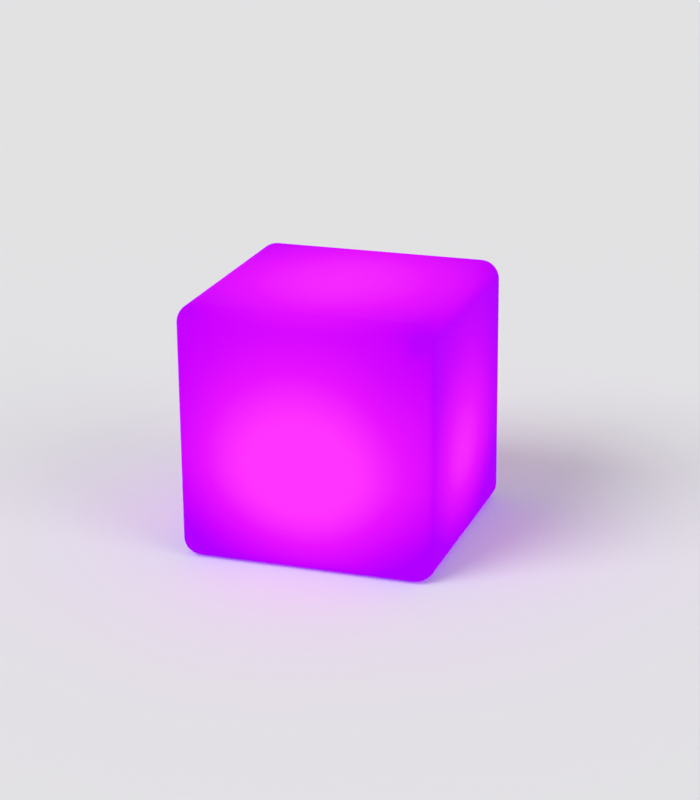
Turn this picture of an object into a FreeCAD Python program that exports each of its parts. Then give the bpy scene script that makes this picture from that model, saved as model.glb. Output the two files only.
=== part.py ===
"""A square glowing cube lamp for the garden: a hollow white polyethylene cube with a round light module
screwed up into its underside. Millimetres, +Z up, the floor at Z = 0 under the middle of the cube."""

import FreeCAD
import Part
import Sketcher

import math
import os

Vector = FreeCAD.Vector

doc = FreeCAD.newDocument("cube_lamp")
nodes = []

# ---------------------------------------------------------------------------------------------------------
# Driving dimensions, in millimetres, kept in a spreadsheet with one alias per size
# ---------------------------------------------------------------------------------------------------------
DIMENSIONS = {
    # the moulded cube
    "cube_side": 400,
    "edge_rounding": 30,
    "base_edge_rounding": 26,
    "shell_wall": 3.5,
    "recess_lip_bevel": 3,
    "cut_margin": 1,
    "seat_level": 15,
    "seat_width": 21,
    # the screws that hold the module, and their moulded-in inserts
    "module_screw_inset": 8,
    "module_screw_count": 6,
    "module_screw_diameter": 4,
    "module_screw_length": 12,
    "module_screw_head_diameter": 8,
    "module_screw_head_height": 2.6,
    "insert_diameter": 6,
    "insert_length": 9,
    "insert_boss_diameter": 14,
    "insert_boss_cover": 1.5,
    # the housing of the module
    "gasket_thickness": 2,
    "gasket_setback": 1,
    "flange_gap": 3,
    "flange_thickness": 5,
    "flange_bevel": 1,
    "plate_thickness": 3,
    "cup_gap": 2,
    "cup_wall": 5,
    "cup_to_board_gap": 10,
    "shelf_depth": 5,
    "shelf_width": 2.5,
    "post_diameter": 6,
    "thread_run_out": 0.5,
    # the domed cover
    "cover_gasket_thickness": 1,
    "cover_flange_thickness": 2.5,
    "dome_setback": 13,
    "dome_height": 22,
    "dome_wall": 2,
    "cover_screw_inset": 6.5,
    "cover_screw_count": 4,
    "cover_screw_diameter": 3,
    "cover_screw_length": 10,
    "cover_boss_diameter": 9,
    # the carrier and the light board
    "carrier_thickness": 2,
    "board_thickness": 1.6,
    "light_board_setback": 2,
    "light_board_screw_inset": 5,
    "light_board_screw_count": 4,
    "board_screw_diameter": 2.5,
    "board_screw_length": 5,
    "led_ring_inset": 10,
    "outer_led_count": 12,
    "inner_led_count": 6,
    "led_width": 5,
    "led_height": 1.6,
    "receiver_width": 6,
    "receiver_height": 7,
    # the battery
    "cell_diameter": 18.4,
    "cell_length": 65,
    "wrap_thickness": 0.4,
    "tab_thickness": 0.2,
    "wrap_setback": 0.65,
    "tab_length": 24,
    "tab_height": 7,
    "pad_length": 52,
    "pad_width": 24,
    "pad_thickness": 1.5,
    "rib_length": 39,
    "rib_thickness": 2,
    "strap_width": 12,
    "strap_end_margin": 4,
    "strap_thickness": 2,
    "strap_clearance": 3.34,
    "strap_screw_spacing": 52,
    # the control board
    "control_board_length": 52,
    "control_board_width": 28,
    "control_board_offset": 26,
    "control_board_clearance": 4,
    "control_screw_inset": 3.5,
    "connector_length": 7,
    "connector_width": 5.5,
    "connector_height": 7,
    "connector_spacing": 10,
    "connector_inset": 4,
    "led_connector_length": 14,
    "controller_length": 10,
    "controller_width": 4,
    "charger_length": 5,
    "driver_length": 6.5,
    "driver_width": 6,
    "chip_height": 1.8,
    "controller_x": -7,
    "charger_x": 1.5,
    "driver_x": 8,
    "capacitor_diameter": 6.3,
    "capacitor_height": 8,
    "capacitor_spacing": 7,
    "coil_diameter": 8,
    "coil_height": 5,
    "board_end_inset": 8.5,
    # the sealed push switch
    "switch_x": -20,
    "switch_y": -22,
    "barrel_diameter": 12,
    "barrel_height": 12,
    "bezel_diameter": 16,
    "bezel_thickness": 1.5,
    "button_diameter": 8,
    "button_projection": 2.5,
    "button_bevel": 0.8,
    "collar_width": 0.9,
    "collar_height": 2,
    "plunger_height": 2,
    "switch_end_wall": 2,
    "spring_wire": 0.6,
    "spring_turns": 5,
    # the charging socket and its stopper
    "socket_x": 20,
    "socket_y": -22,
    "socket_diameter": 11,
    "socket_height": 10,
    "socket_flange_diameter": 14,
    "socket_bore": 5.6,
    "socket_bore_depth": 9.5,
    "pin_diameter": 2.1,
    "pin_setback": 1.5,
    "pin_bevel": 0.3,
    "pin_tail": 1,
    "stopper_diameter": 13,
    "stopper_thickness": 2,
    "stopper_bevel": 0.6,
    "stopper_nose_length": 5,
    "stopper_nose_bevel": 0.5,
    "pull_tab_height": 2,
    "pull_tab_length": 8,
    "tether_length": 18,
    "tether_width": 5,
    "tether_thickness": 1.2,
    "tether_eye_margin": 1,
    "tether_level_length": 1.5,
    "tether_bend_shift": 0.4,
    "nut_thickness": 2.5,
    "nut_rim": 2.5,
    "seal_wire": 1,
    "fitting_bevel": 0.5,
    # the solder lugs behind the switch and the socket
    "lug_width": 2.4,
    "lug_thickness": 0.8,
    "lug_height": 5,
    "lug_spacing": 5,
    "sleeve_lug_offset": 3.8,
    # the charge light
    "light_pipe_diameter": 5,
    "light_pipe_projection": 0.6,
    "light_pipe_collar": 1,
    "charge_led_length": 3,
    "charge_led_width": 2,
    "charge_led_height": 0.8,
    # wires and clearances
    "wire_diameter": 1.4,
    "wire_pitch": 1.25,
    "hole_gap": 0.1,
    "fit_gap": 0.3,
    "sliding_gap": 0.05,
    "thread_gap": 0.02,
}

sheet = doc.addObject("Spreadsheet::Sheet", "sizes")
for row, (alias, size) in enumerate(DIMENSIONS.items(), start=1):
    sheet.set(f"A{row}", alias)
    sheet.set(f"B{row}", str(size))
    sheet.setAlias(f"B{row}", alias)
doc.recompute()

# Heights and radii that follow from them, as expressions that the features are bound to
FLANGE_BOTTOM = "(sizes.seat_level - sizes.gasket_thickness - sizes.flange_thickness)"
FLANGE_TOP = f"({FLANGE_BOTTOM} + sizes.flange_thickness)"
PLATE_TOP = f"({FLANGE_BOTTOM} + sizes.plate_thickness)"
CONTROL_BOARD = f"({PLATE_TOP} + sizes.control_board_clearance)"
CONTROL_BOARD_TOP = f"({CONTROL_BOARD} + sizes.board_thickness)"
CELL_RADIUS = "(sizes.cell_diameter / 2)"
CELL_SPACING = f"({CELL_RADIUS} + sizes.thread_gap)"
WRAP_RADIUS = f"({CELL_RADIUS} + sizes.thread_gap + sizes.wrap_thickness)"
STRAP_BOTTOM = f"({CONTROL_BOARD_TOP} + sizes.connector_height + sizes.strap_clearance)"
STRAP_TOP = f"({STRAP_BOTTOM} + sizes.strap_thickness)"
CELL_LEVEL = f"({STRAP_TOP} + sizes.fit_gap + {WRAP_RADIUS})"
SHELF = f"({CELL_LEVEL} + {WRAP_RADIUS} + sizes.thread_gap + sizes.pad_thickness)"
RIM = f"({SHELF} + sizes.shelf_depth)"
CUP_BORE = "(sizes.control_board_offset + sizes.control_board_width / 2 + sizes.cup_to_board_gap)"
CUP_RADIUS = f"({CUP_BORE} + sizes.cup_wall)"
OPENING_RADIUS = f"({CUP_RADIUS} + sizes.cup_gap)"
RECESS_RADIUS = f"({OPENING_RADIUS} + sizes.seat_width)"
FLANGE_RADIUS = f"({RECESS_RADIUS} - sizes.flange_gap)"
MODULE_SCREW_CIRCLE = f"(2 * ({FLANGE_RADIUS} - sizes.module_screw_inset))"
COVER_SCREW_CIRCLE = f"(2 * ({CUP_RADIUS} - sizes.cover_screw_inset))"
COVER_SCREW_AT = f"({COVER_SCREW_CIRCLE} / 2 * cos(45))"
DOME_FOOT = f"({CUP_RADIUS} - sizes.dome_setback)"
LIGHT_BOARD_RADIUS = f"({DOME_FOOT} - sizes.light_board_setback)"
LIGHT_SCREW_CIRCLE = f"(2 * ({LIGHT_BOARD_RADIUS} - sizes.light_board_screw_inset))"
OUTER_LED_CIRCLE = f"(2 * ({LIGHT_BOARD_RADIUS} - sizes.led_ring_inset))"
INNER_LED_CIRCLE = f"({OUTER_LED_CIRCLE} / 2)"
SHELF_RADIUS = f"({CUP_BORE} + sizes.shelf_width)"
COVER_SEAT = f"({RIM} + sizes.cover_gasket_thickness)"
COVER_TOP = f"({COVER_SEAT} + sizes.cover_flange_thickness)"
CARRIER_TOP = f"({SHELF} + sizes.carrier_thickness)"
LIGHT_BOARD_TOP = f"({CARRIER_TOP} + sizes.board_thickness)"
SEAT_TOP = "(sizes.seat_level + sizes.shell_wall)"
MODULE_SCREW_SINK = "(sizes.module_screw_head_height + sizes.fit_gap)"
MODULE_SCREW_HOLE = "(sizes.module_screw_diameter / 2 + sizes.fit_gap)"
BOARD_SCREW_BODY = ("sizes.board_screw_diameter", "sizes.board_screw_length")
BOARD_SCREW_HEAD = ("1.8 * sizes.board_screw_diameter", "0.7 * sizes.board_screw_diameter")


# ---------------------------------------------------------------------------------------------------------
# Small helpers: each draws one kind of sketch or feature and binds its sizes to the spreadsheet
# ---------------------------------------------------------------------------------------------------------
def number(expression):
    """The present value of an expression on the spreadsheet."""
    return float(sheet.evalExpression(expression.replace("sizes.", "")))


def new_body(label):
    return doc.addObject("PartDesign::Body", label)


def keep(label, item):
    """Names a finished sub-part; the label is also the name of its file."""
    item.Label = label
    nodes.append(item)
    return item


def place(item, x="0", y="0", z="0"):
    for axis, expression in zip("xyz", (x, y, z)):
        item.setExpression(f"Placement.Base.{axis}", expression)
    return item


def sketch(body, name, plane="XY_Plane", level=None):
    drawing = body.newObject("Sketcher::SketchObject", name)
    plane_item = next(item for item in body.Origin.OriginFeatures if item.Role == plane)
    drawing.AttachmentSupport = [(plane_item, "")]
    drawing.MapMode = "FlatFace"
    if level is not None:
        drawing.setExpression("AttachmentOffset.Base.z", level)
    return drawing


def pin_point(drawing, geometry, point, x, y):
    """Holds one point of a sketch at x, y from the sketch's origin."""
    for kind, expression in (("DistanceX", x), ("DistanceY", y)):
        index = drawing.addConstraint(
            Sketcher.Constraint(kind, -1, 1, geometry, point, number(expression))
        )
        drawing.setExpression(f"Constraints[{index}]", expression)


def circle(drawing, x, y, radius):
    centre = Vector(number(x), number(y), 0)
    edge = drawing.addGeometry(Part.Circle(centre, Vector(0, 0, 1), number(radius)))
    pin_point(drawing, edge, 3, x, y)
    index = drawing.addConstraint(Sketcher.Constraint("Radius", edge, number(radius)))
    drawing.setExpression(f"Constraints[{index}]", radius)


def outline(drawing, corners):
    """A closed outline of straight lines through corners, each an x, y pair of expressions."""
    points = [Vector(number(x), number(y), 0) for x, y in corners]
    first = drawing.GeometryCount
    count = len(points)
    for index, point in enumerate(points):
        drawing.addGeometry(Part.LineSegment(point, points[(index + 1) % count]))
    for index, (x, y) in enumerate(corners):
        here, following = first + index, first + (index + 1) % count
        drawing.addConstraint(Sketcher.Constraint("Coincident", here, 2, following, 1))
        pin_point(drawing, here, 1, x, y)


def rectangle(drawing, x, y, length, width):
    left, right = f"{x} - {length} / 2", f"{x} + {length} / 2"
    front, back = f"{y} - {width} / 2", f"{y} + {width} / 2"
    outline(drawing, [(left, front), (right, front), (right, back), (left, back)])


def pad(body, name, drawing, length):
    feature = body.newObject("PartDesign::Pad", name)
    feature.Profile = drawing
    feature.setExpression("Length", length)
    drawing.Visibility = False
    return feature


def pocket(body, name, drawing, depth):
    """Cuts upwards from the sketch by depth."""
    feature = body.newObject("PartDesign::Pocket", name)
    feature.Profile = drawing
    feature.Reversed = True
    feature.setExpression("Length", depth)
    return feature


def turn(body, name, drawing):
    """Revolves a half section about the body's Z axis."""
    feature = body.newObject("PartDesign::Revolution", name)
    feature.Profile = drawing
    feature.ReferenceAxis = (drawing, ["V_Axis"])
    feature.Angle = 360
    return feature


def repeat_round(body, name, feature, drawing, count):
    pattern = body.newObject("PartDesign::PolarPattern", name)
    pattern.Originals = [feature]
    pattern.Axis = (drawing, ["N_Axis"])
    pattern.Angle = 360
    pattern.setExpression("Occurrences", count)
    body.Tip = pattern
    return pattern


def turned(label, corners):
    """A body turned from one half section, whose corners are radius, height pairs."""
    body = new_body(label)
    drawing = sketch(body, label + "_section", "XZ_Plane")
    outline(drawing, corners)
    turn(body, label + "_turned", drawing)
    return body


def cylinder(name, radius, height, x="0", y="0", z="0", tilt=None):
    item = doc.addObject("Part::Cylinder", name)
    item.setExpression("Radius", radius)
    item.setExpression("Height", height)
    if tilt is not None:
        item.Placement = FreeCAD.Placement(Vector(), tilt)
    return place(item, x, y, z)


def box(name, length, width, height, x="0", y="0", z="0"):
    """A box centred on x, y and standing on z."""
    item = doc.addObject("Part::Box", name)
    item.setExpression("Length", length)
    item.setExpression("Width", width)
    item.setExpression("Height", height)
    return place(item, f"{x} - {length} / 2", f"{y} - {width} / 2", z)


def cut(name, base, tool):
    item = doc.addObject("Part::Cut", name)
    item.Base = base
    item.Tool = tool
    return item


def join(name, pieces):
    item = doc.addObject("Part::MultiFuse", name)
    item.Shapes = pieces
    return item


def group(label, items):
    """Several separate solids that share one node."""
    compound = doc.addObject("Part::Compound", label)
    compound.Links = items
    return keep(label, compound)


def copies(original, places):
    """Linked copies of one piece, each at its own x, y, z."""
    made = []
    for index, (x, y, z) in enumerate(places):
        link = doc.addObject("App::Link", f"{original.Name}_copy_{index + 1}")
        link.LinkedObject = original
        made.append(place(link, x, y, z))
    return made


def places_round(circle_diameter, count, level, first_angle=0):
    """Places spread evenly round the Z axis, as expressions."""
    step = 360 / number(count)
    found = []
    for index in range(round(number(count))):
        angle = first_angle + index * step
        x = f"{circle_diameter} / 2 * cos({angle})"
        y = f"{circle_diameter} / 2 * sin({angle})"
        found.append((x, y, level))
    return found


# A pan head's shoulder and face, and its cross recess, as shares of the head's height or diameter
HEAD_SHOULDER = 0.6
HEAD_FACE = 0.7
CROSS_DEPTH = 0.55
CROSS_REACH = 0.28
CROSS_HALF_WIDTH = 0.07


def screw(name, diameter, length, head_diameter, head_height, head_down=False):
    """A pan-head screw on the Z axis, its head's seat at Z = 0, with a cross recess in the head."""
    body = new_body(name)
    side = "-1" if head_down else "1"
    section = sketch(body, name + "_section", "XZ_Plane")
    outline(
        section,
        [
            ("0", f"-{side} * {length}"),
            (f"{diameter} / 2", f"-{side} * {length}"),
            (f"{diameter} / 2", "0"),
            (f"{head_diameter} / 2", "0"),
            (f"{head_diameter} / 2", f"{side} * {head_height} * {HEAD_SHOULDER}"),
            (f"{head_diameter} / 2 * {HEAD_FACE}", f"{side} * {head_height}"),
            ("0", f"{side} * {head_height}"),
        ],
    )
    turn(body, name + "_turned", section)
    slot_depth = f"{head_height} * {CROSS_DEPTH}"
    start = f"-{head_height}" if head_down else f"{head_height} - {slot_depth}"
    recess = sketch(body, name + "_recess", level=start)
    arm, half = f"{head_diameter} * {CROSS_REACH}", f"{head_diameter} * {CROSS_HALF_WIDTH}"
    outline(
        recess,
        [
            (arm, half), (half, half), (half, arm), (f"-{half}", arm), (f"-{half}", half),
            (f"-{arm}", half), (f"-{arm}", f"-{half}"), (f"-{half}", f"-{half}"),
            (f"-{half}", f"-{arm}"), (half, f"-{arm}"), (half, f"-{half}"), (arm, f"-{half}"),
        ],
    )
    pocket(body, name + "_cross", recess, slot_depth)
    return body


# ---------------------------------------------------------------------------------------------------------
# The cube: one rotationally moulded shell, closed but for the round opening in its underside
# ---------------------------------------------------------------------------------------------------------
def edges_of(feature, level, lying_there):
    """The names of a feature's edges that lie at a level, or of all its others."""
    tolerance = 0.001
    names = []
    for index, edge in enumerate(feature.Shape.Edges, start=1):
        if (edge.BoundBox.ZMax < level + tolerance) == lying_there:
            names.append(f"Edge{index}")
    return names


def rounded_cube(name, side, bottom, height, rounding, base_rounding):
    """A block with all its upright and top edges rounded, and its bottom edges by their own radius."""
    body = new_body(name)
    square = sketch(body, name + "_square", level=bottom)
    rectangle(square, "0", "0", side, side)
    block = pad(body, name + "_block", square, height)
    doc.recompute()
    rounded = body.newObject("PartDesign::Fillet", name + "_rounded")
    rounded.Base = (block, edges_of(block, number(bottom), lying_there=False))
    rounded.setExpression("Radius", rounding)
    doc.recompute()
    eased = body.newObject("PartDesign::Fillet", name + "_eased")
    eased.Base = (rounded, edges_of(rounded, number(bottom), lying_there=True))
    eased.setExpression("Radius", base_rounding)
    return body


def make_shell():
    inner_side = "(sizes.cube_side - 2 * sizes.shell_wall)"
    outside = rounded_cube(
        "shell_outside",
        "sizes.cube_side",
        "0",
        "sizes.cube_side",
        "sizes.edge_rounding",
        "sizes.base_edge_rounding",
    )
    inside = rounded_cube(
        "shell_inside",
        inner_side,
        "sizes.shell_wall",
        inner_side,
        "(sizes.edge_rounding - sizes.shell_wall)",
        "(sizes.base_edge_rounding - sizes.shell_wall)",
    )
    hollow = cut("shell_hollow", outside, inside)
    tub_radius = f"({RECESS_RADIUS} + sizes.shell_wall)"
    tub = cylinder("recess_tub", tub_radius, SEAT_TOP)
    boss_height = "(sizes.insert_length + sizes.insert_boss_cover)"
    boss = cylinder("insert_boss", "sizes.insert_boss_diameter / 2", boss_height)
    boss_places = places_round(MODULE_SCREW_CIRCLE, "sizes.module_screw_count", "sizes.seat_level")
    walls = join("shell_walls", [hollow, tub, *copies(boss, boss_places)])

    # What is cut away from below: the recess with its eased lip, the opening and the seats of the inserts
    recess = turned(
        "recess_space",
        [
            ("0", "-sizes.cut_margin"),
            (f"{RECESS_RADIUS} + sizes.recess_lip_bevel + sizes.cut_margin", "-sizes.cut_margin"),
            (RECESS_RADIUS, "sizes.recess_lip_bevel"),
            (RECESS_RADIUS, "sizes.seat_level"),
            (OPENING_RADIUS, "sizes.seat_level"),
            (OPENING_RADIUS, f"{SEAT_TOP} + sizes.cut_margin"),
            ("0", f"{SEAT_TOP} + sizes.cut_margin"),
        ],
    )
    insert_seat = cylinder("insert_seat", "sizes.insert_diameter / 2", "sizes.insert_length")
    spaces = join("shell_spaces", [recess, *copies(insert_seat, boss_places)])
    keep("shell", cut("shell_finished", walls, spaces))


def make_inserts():
    """Knurled brass inserts that the module's screws bite in, moulded into the seat from below."""
    insert = turned(
        "insert",
        [
            ("sizes.module_screw_diameter / 2 + sizes.thread_gap", "0"),
            ("sizes.insert_diameter / 2", "0"),
            ("sizes.insert_diameter / 2", "sizes.insert_length"),
            ("sizes.module_screw_diameter / 2 + sizes.thread_gap", "sizes.insert_length"),
        ],
    )
    spots = places_round(MODULE_SCREW_CIRCLE, "sizes.module_screw_count", "sizes.seat_level")
    group("threaded_inserts", copies(insert, spots))


def make_module_gasket():
    body = new_body("module_gasket")
    ring = sketch(body, "gasket_ring", level=FLANGE_TOP)
    circle(ring, "0", "0", f"{FLANGE_RADIUS} - sizes.gasket_setback")
    circle(ring, "0", "0", f"{OPENING_RADIUS} + sizes.gasket_setback")
    pad(body, "gasket_sheet", ring, "sizes.gasket_thickness")
    hole = sketch(body, "gasket_hole", level=FLANGE_TOP)
    circle(hole, f"{MODULE_SCREW_CIRCLE} / 2", "0", MODULE_SCREW_HOLE)
    punched = pocket(body, "gasket_punched", hole, "sizes.gasket_thickness")
    repeat_round(body, "gasket_holes", punched, hole, "sizes.module_screw_count")
    keep("module_gasket", body)


def make_module_screws():
    one = screw(
        "module_screw",
        "sizes.module_screw_diameter",
        "sizes.module_screw_length",
        "sizes.module_screw_head_diameter",
        "sizes.module_screw_head_height",
        head_down=True,
    )
    level = f"{FLANGE_BOTTOM} + {MODULE_SCREW_SINK}"
    spots = places_round(MODULE_SCREW_CIRCLE, "sizes.module_screw_count", level)
    group("module_screws", copies(one, spots))


# ---------------------------------------------------------------------------------------------------------
# The light module's housing: a moulded cup with a flange, open at the top
# ---------------------------------------------------------------------------------------------------------
BOARD_Y = "sizes.control_board_offset"
BOARD_END_X = "(sizes.control_board_length / 2 - sizes.board_end_inset)"
BOARD_SCREW_X = "(sizes.control_board_length / 2 - sizes.control_screw_inset)"
BOARD_SCREW_Y = "(sizes.control_board_width / 2 - sizes.control_screw_inset)"
CONTROL_POSTS = [
    (f"{side} * {BOARD_SCREW_X}", f"({BOARD_Y} + {end} * {BOARD_SCREW_Y})")
    for side in (-1, 1)
    for end in (-1, 1)
]
CONNECTOR_Y = f"({BOARD_Y} - sizes.control_board_width / 2 + sizes.connector_inset)"
LED_CONNECTOR_Y = f"({BOARD_Y} + sizes.control_board_width / 2 - sizes.connector_inset)"
TETHER_SCREW_X = "(sizes.socket_x + sizes.tether_length)"
THREAD_HOLE = "(sizes.board_screw_diameter / 2 + sizes.thread_gap)"


def make_housing():
    body = new_body("base_housing")
    section = sketch(body, "housing_section", "XZ_Plane")
    outline(
        section,
        [
            ("0", FLANGE_BOTTOM),
            (f"{FLANGE_RADIUS} - sizes.flange_bevel", FLANGE_BOTTOM),
            (FLANGE_RADIUS, f"{FLANGE_BOTTOM} + sizes.flange_bevel"),
            (FLANGE_RADIUS, FLANGE_TOP),
            (CUP_RADIUS, FLANGE_TOP),
            (CUP_RADIUS, RIM),
            (SHELF_RADIUS, RIM),
            (SHELF_RADIUS, SHELF),
            (CUP_BORE, SHELF),
            (CUP_BORE, PLATE_TOP),
            ("0", PLATE_TOP),
        ],
    )
    turn(body, "housing_cup", section)

    column = sketch(body, "cover_column_outline", level=PLATE_TOP)
    circle(column, COVER_SCREW_AT, COVER_SCREW_AT, "sizes.cover_boss_diameter / 2")
    column_pad = pad(body, "cover_column", column, f"{RIM} - {PLATE_TOP}")
    repeat_round(body, "cover_columns", column_pad, column, "sizes.cover_screw_count")

    posts = sketch(body, "control_posts_outline", level=PLATE_TOP)
    for x, y in CONTROL_POSTS:
        circle(posts, x, y, "sizes.post_diameter / 2")
    pad(body, "control_posts", posts, "sizes.control_board_clearance")
    tether_boss = sketch(body, "tether_boss_outline", level=PLATE_TOP)
    circle(tether_boss, TETHER_SCREW_X, "sizes.socket_y", "sizes.post_diameter / 2")
    pad(body, "tether_boss", tether_boss, "sizes.board_screw_length")

    hole_end = f"{COVER_TOP} - sizes.cover_screw_length - sizes.thread_run_out"
    cover_hole = sketch(body, "cover_hole_outline", level=hole_end)
    circle(cover_hole, COVER_SCREW_AT, COVER_SCREW_AT, "sizes.cover_screw_diameter / 2 + sizes.thread_gap")
    drilled = pocket(body, "cover_hole", cover_hole, "sizes.cover_screw_length + sizes.thread_run_out")
    repeat_round(body, "cover_holes", drilled, cover_hole, "sizes.cover_screw_count")

    flange_hole = sketch(body, "flange_hole_outline", level=FLANGE_BOTTOM)
    circle(flange_hole, f"{MODULE_SCREW_CIRCLE} / 2", "0", MODULE_SCREW_HOLE)
    through = pocket(body, "flange_hole", flange_hole, "sizes.flange_thickness")
    repeat_round(body, "flange_holes", through, flange_hole, "sizes.module_screw_count")
    sink = sketch(body, "flange_sink_outline", level=FLANGE_BOTTOM)
    circle(sink, f"{MODULE_SCREW_CIRCLE} / 2", "0", "sizes.module_screw_head_diameter / 2 + sizes.fit_gap")
    sunk = pocket(body, "flange_sink", sink, MODULE_SCREW_SINK)
    repeat_round(body, "flange_sinks", sunk, sink, "sizes.module_screw_count")

    panel = sketch(body, "panel_holes_outline", level=FLANGE_BOTTOM)
    circle(panel, "sizes.switch_x", "sizes.switch_y", "sizes.barrel_diameter / 2 + sizes.fit_gap")
    circle(panel, "sizes.socket_x", "sizes.socket_y", "sizes.socket_diameter / 2 + sizes.fit_gap")
    circle(panel, "0", BOARD_Y, "sizes.light_pipe_diameter / 2 + sizes.sliding_gap")
    pocket(body, "panel_holes", panel, "sizes.plate_thickness")

    threads = sketch(body, "control_threads_outline", level=f"{CONTROL_BOARD} - sizes.board_screw_length")
    for x, y in CONTROL_POSTS:
        circle(threads, x, y, THREAD_HOLE)
    pocket(body, "control_threads", threads, "sizes.board_screw_length")
    tether_thread = sketch(body, "tether_thread_outline", level=FLANGE_BOTTOM)
    circle(tether_thread, TETHER_SCREW_X, "sizes.socket_y", THREAD_HOLE)
    pocket(body, "tether_thread", tether_thread, "sizes.board_screw_length + sizes.thread_run_out")
    keep("base_housing", body)


# ---------------------------------------------------------------------------------------------------------
# The domed cover over the lights, with its gasket and screws
# ---------------------------------------------------------------------------------------------------------
def cover_ears(body, name, level, length):
    """Four round ears over the housing's columns, so that a ring can be screwed down on them."""
    ear = sketch(body, name + "_ear_outline", level=level)
    circle(ear, COVER_SCREW_AT, COVER_SCREW_AT, "sizes.cover_boss_diameter / 2")
    grown = pad(body, name + "_ear", ear, length)
    repeat_round(body, name + "_ears", grown, ear, "sizes.cover_screw_count")
    hole = sketch(body, name + "_hole_outline", level=level)
    circle(hole, COVER_SCREW_AT, COVER_SCREW_AT, "sizes.cover_screw_diameter / 2 + sizes.fit_gap")
    punched = pocket(body, name + "_hole", hole, length)
    repeat_round(body, name + "_holes", punched, hole, "sizes.cover_screw_count")


def make_cover_gasket():
    body = new_body("cover_gasket")
    ring = sketch(body, "cover_gasket_ring", level=RIM)
    circle(ring, "0", "0", CUP_RADIUS)
    circle(ring, "0", "0", CUP_BORE)
    pad(body, "cover_gasket_sheet", ring, "sizes.cover_gasket_thickness")
    cover_ears(body, "cover_gasket", RIM, "sizes.cover_gasket_thickness")
    keep("cover_gasket", body)


def make_cover():
    """The frosted cover: a flat flange and a spherical dome, turned from one section with two arcs."""
    body = new_body("light_cover")
    section = sketch(body, "cover_section", "XZ_Plane")
    foot = number(DOME_FOOT)
    rise = number("sizes.dome_height")
    wall = number("sizes.dome_wall")
    foot_squared, rise_squared = f"pow({DOME_FOOT}; 2)", "pow(sizes.dome_height; 2)"
    dome_radius = f"(({foot_squared} + {rise_squared}) / (2 * sizes.dome_height))"
    centre_level = f"({COVER_TOP} + sizes.dome_height - {dome_radius})"
    radius = (foot * foot + rise * rise) / (2 * rise)
    centre = Vector(0, number(COVER_TOP) + rise - radius, 0)
    inner_radius = f"({dome_radius} - sizes.dome_wall)"
    inner_foot = f"sqrt(pow({inner_radius}; 2) - pow({COVER_SEAT} - {centre_level}; 2))"
    top = number(COVER_TOP) + rise
    seat, flange_top = number(COVER_SEAT), number(COVER_TOP)
    rim = number(CUP_RADIUS)
    inside = number(inner_foot)
    corners = [
        Vector(inside, seat, 0),
        Vector(rim, seat, 0),
        Vector(rim, flange_top, 0),
        Vector(foot, flange_top, 0),
    ]
    for start, end in zip(corners, corners[1:]):
        section.addGeometry(Part.LineSegment(start, end))
    z_axis = Vector(0, 0, 1)
    outer_circle = Part.Circle(centre, z_axis, radius)
    inner_circle = Part.Circle(centre, z_axis, radius - wall)
    outer_start = math.atan2(flange_top - centre.y, foot)
    inner_start = math.atan2(seat - centre.y, inside)
    section.addGeometry(Part.ArcOfCircle(outer_circle, outer_start, math.pi / 2))
    section.addGeometry(Part.LineSegment(Vector(0, top, 0), Vector(0, top - wall, 0)))
    section.addGeometry(Part.ArcOfCircle(inner_circle, inner_start, math.pi / 2))
    # geometry 0 to 2 are the flange's lines, 3 the outer arc, 4 the axis line, 5 the inner arc
    meetings = ((0, 2, 1, 1), (1, 2, 2, 1), (2, 2, 3, 1), (3, 2, 4, 1), (4, 2, 5, 2), (5, 1, 0, 1))
    for one, end, other, start in meetings:
        section.addConstraint(Sketcher.Constraint("Coincident", one, end, other, start))
    section.addConstraint(Sketcher.Constraint("Coincident", 3, 3, 5, 3))
    pin_point(section, 1, 1, CUP_RADIUS, COVER_SEAT)
    pin_point(section, 2, 1, CUP_RADIUS, COVER_TOP)
    pin_point(section, 3, 1, DOME_FOOT, COVER_TOP)
    pin_point(section, 3, 3, "0", centre_level)
    pin_point(section, 4, 2, "0", f"{COVER_TOP} + sizes.dome_height - sizes.dome_wall")
    section.addConstraint(Sketcher.Constraint("PointOnObject", 4, 1, -2))
    section.addConstraint(Sketcher.Constraint("Horizontal", 0))
    turn(body, "cover_dome", section)
    hole = sketch(body, "cover_screw_hole_outline", level=COVER_SEAT)
    circle(hole, COVER_SCREW_AT, COVER_SCREW_AT, "sizes.cover_screw_diameter / 2 + sizes.fit_gap")
    drilled = pocket(body, "cover_screw_hole", hole, "sizes.cover_flange_thickness")
    repeat_round(body, "cover_screw_holes", drilled, hole, "sizes.cover_screw_count")
    keep("light_cover", body)


def make_cover_screws():
    head, height = "2 * sizes.cover_screw_diameter", "0.75 * sizes.cover_screw_diameter"
    one = screw("cover_screw", "sizes.cover_screw_diameter", "sizes.cover_screw_length", head, height)
    spots = places_round(COVER_SCREW_CIRCLE, "sizes.cover_screw_count", COVER_TOP, first_angle=45)
    group("cover_screws", copies(one, spots))


# ---------------------------------------------------------------------------------------------------------
# The carrier, the light board on it and the battery slung under it
# ---------------------------------------------------------------------------------------------------------
STRAP_SCREWS = [("0", f"{side} * sizes.strap_screw_spacing / 2") for side in (-1, 1)]
LIGHT_SCREWS_AT = f"({LIGHT_SCREW_CIRCLE} / 2 * cos(45))"
RIB_Y = f"({CELL_SPACING} + {WRAP_RADIUS} + sizes.fit_gap + sizes.rib_thickness / 2)"


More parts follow.
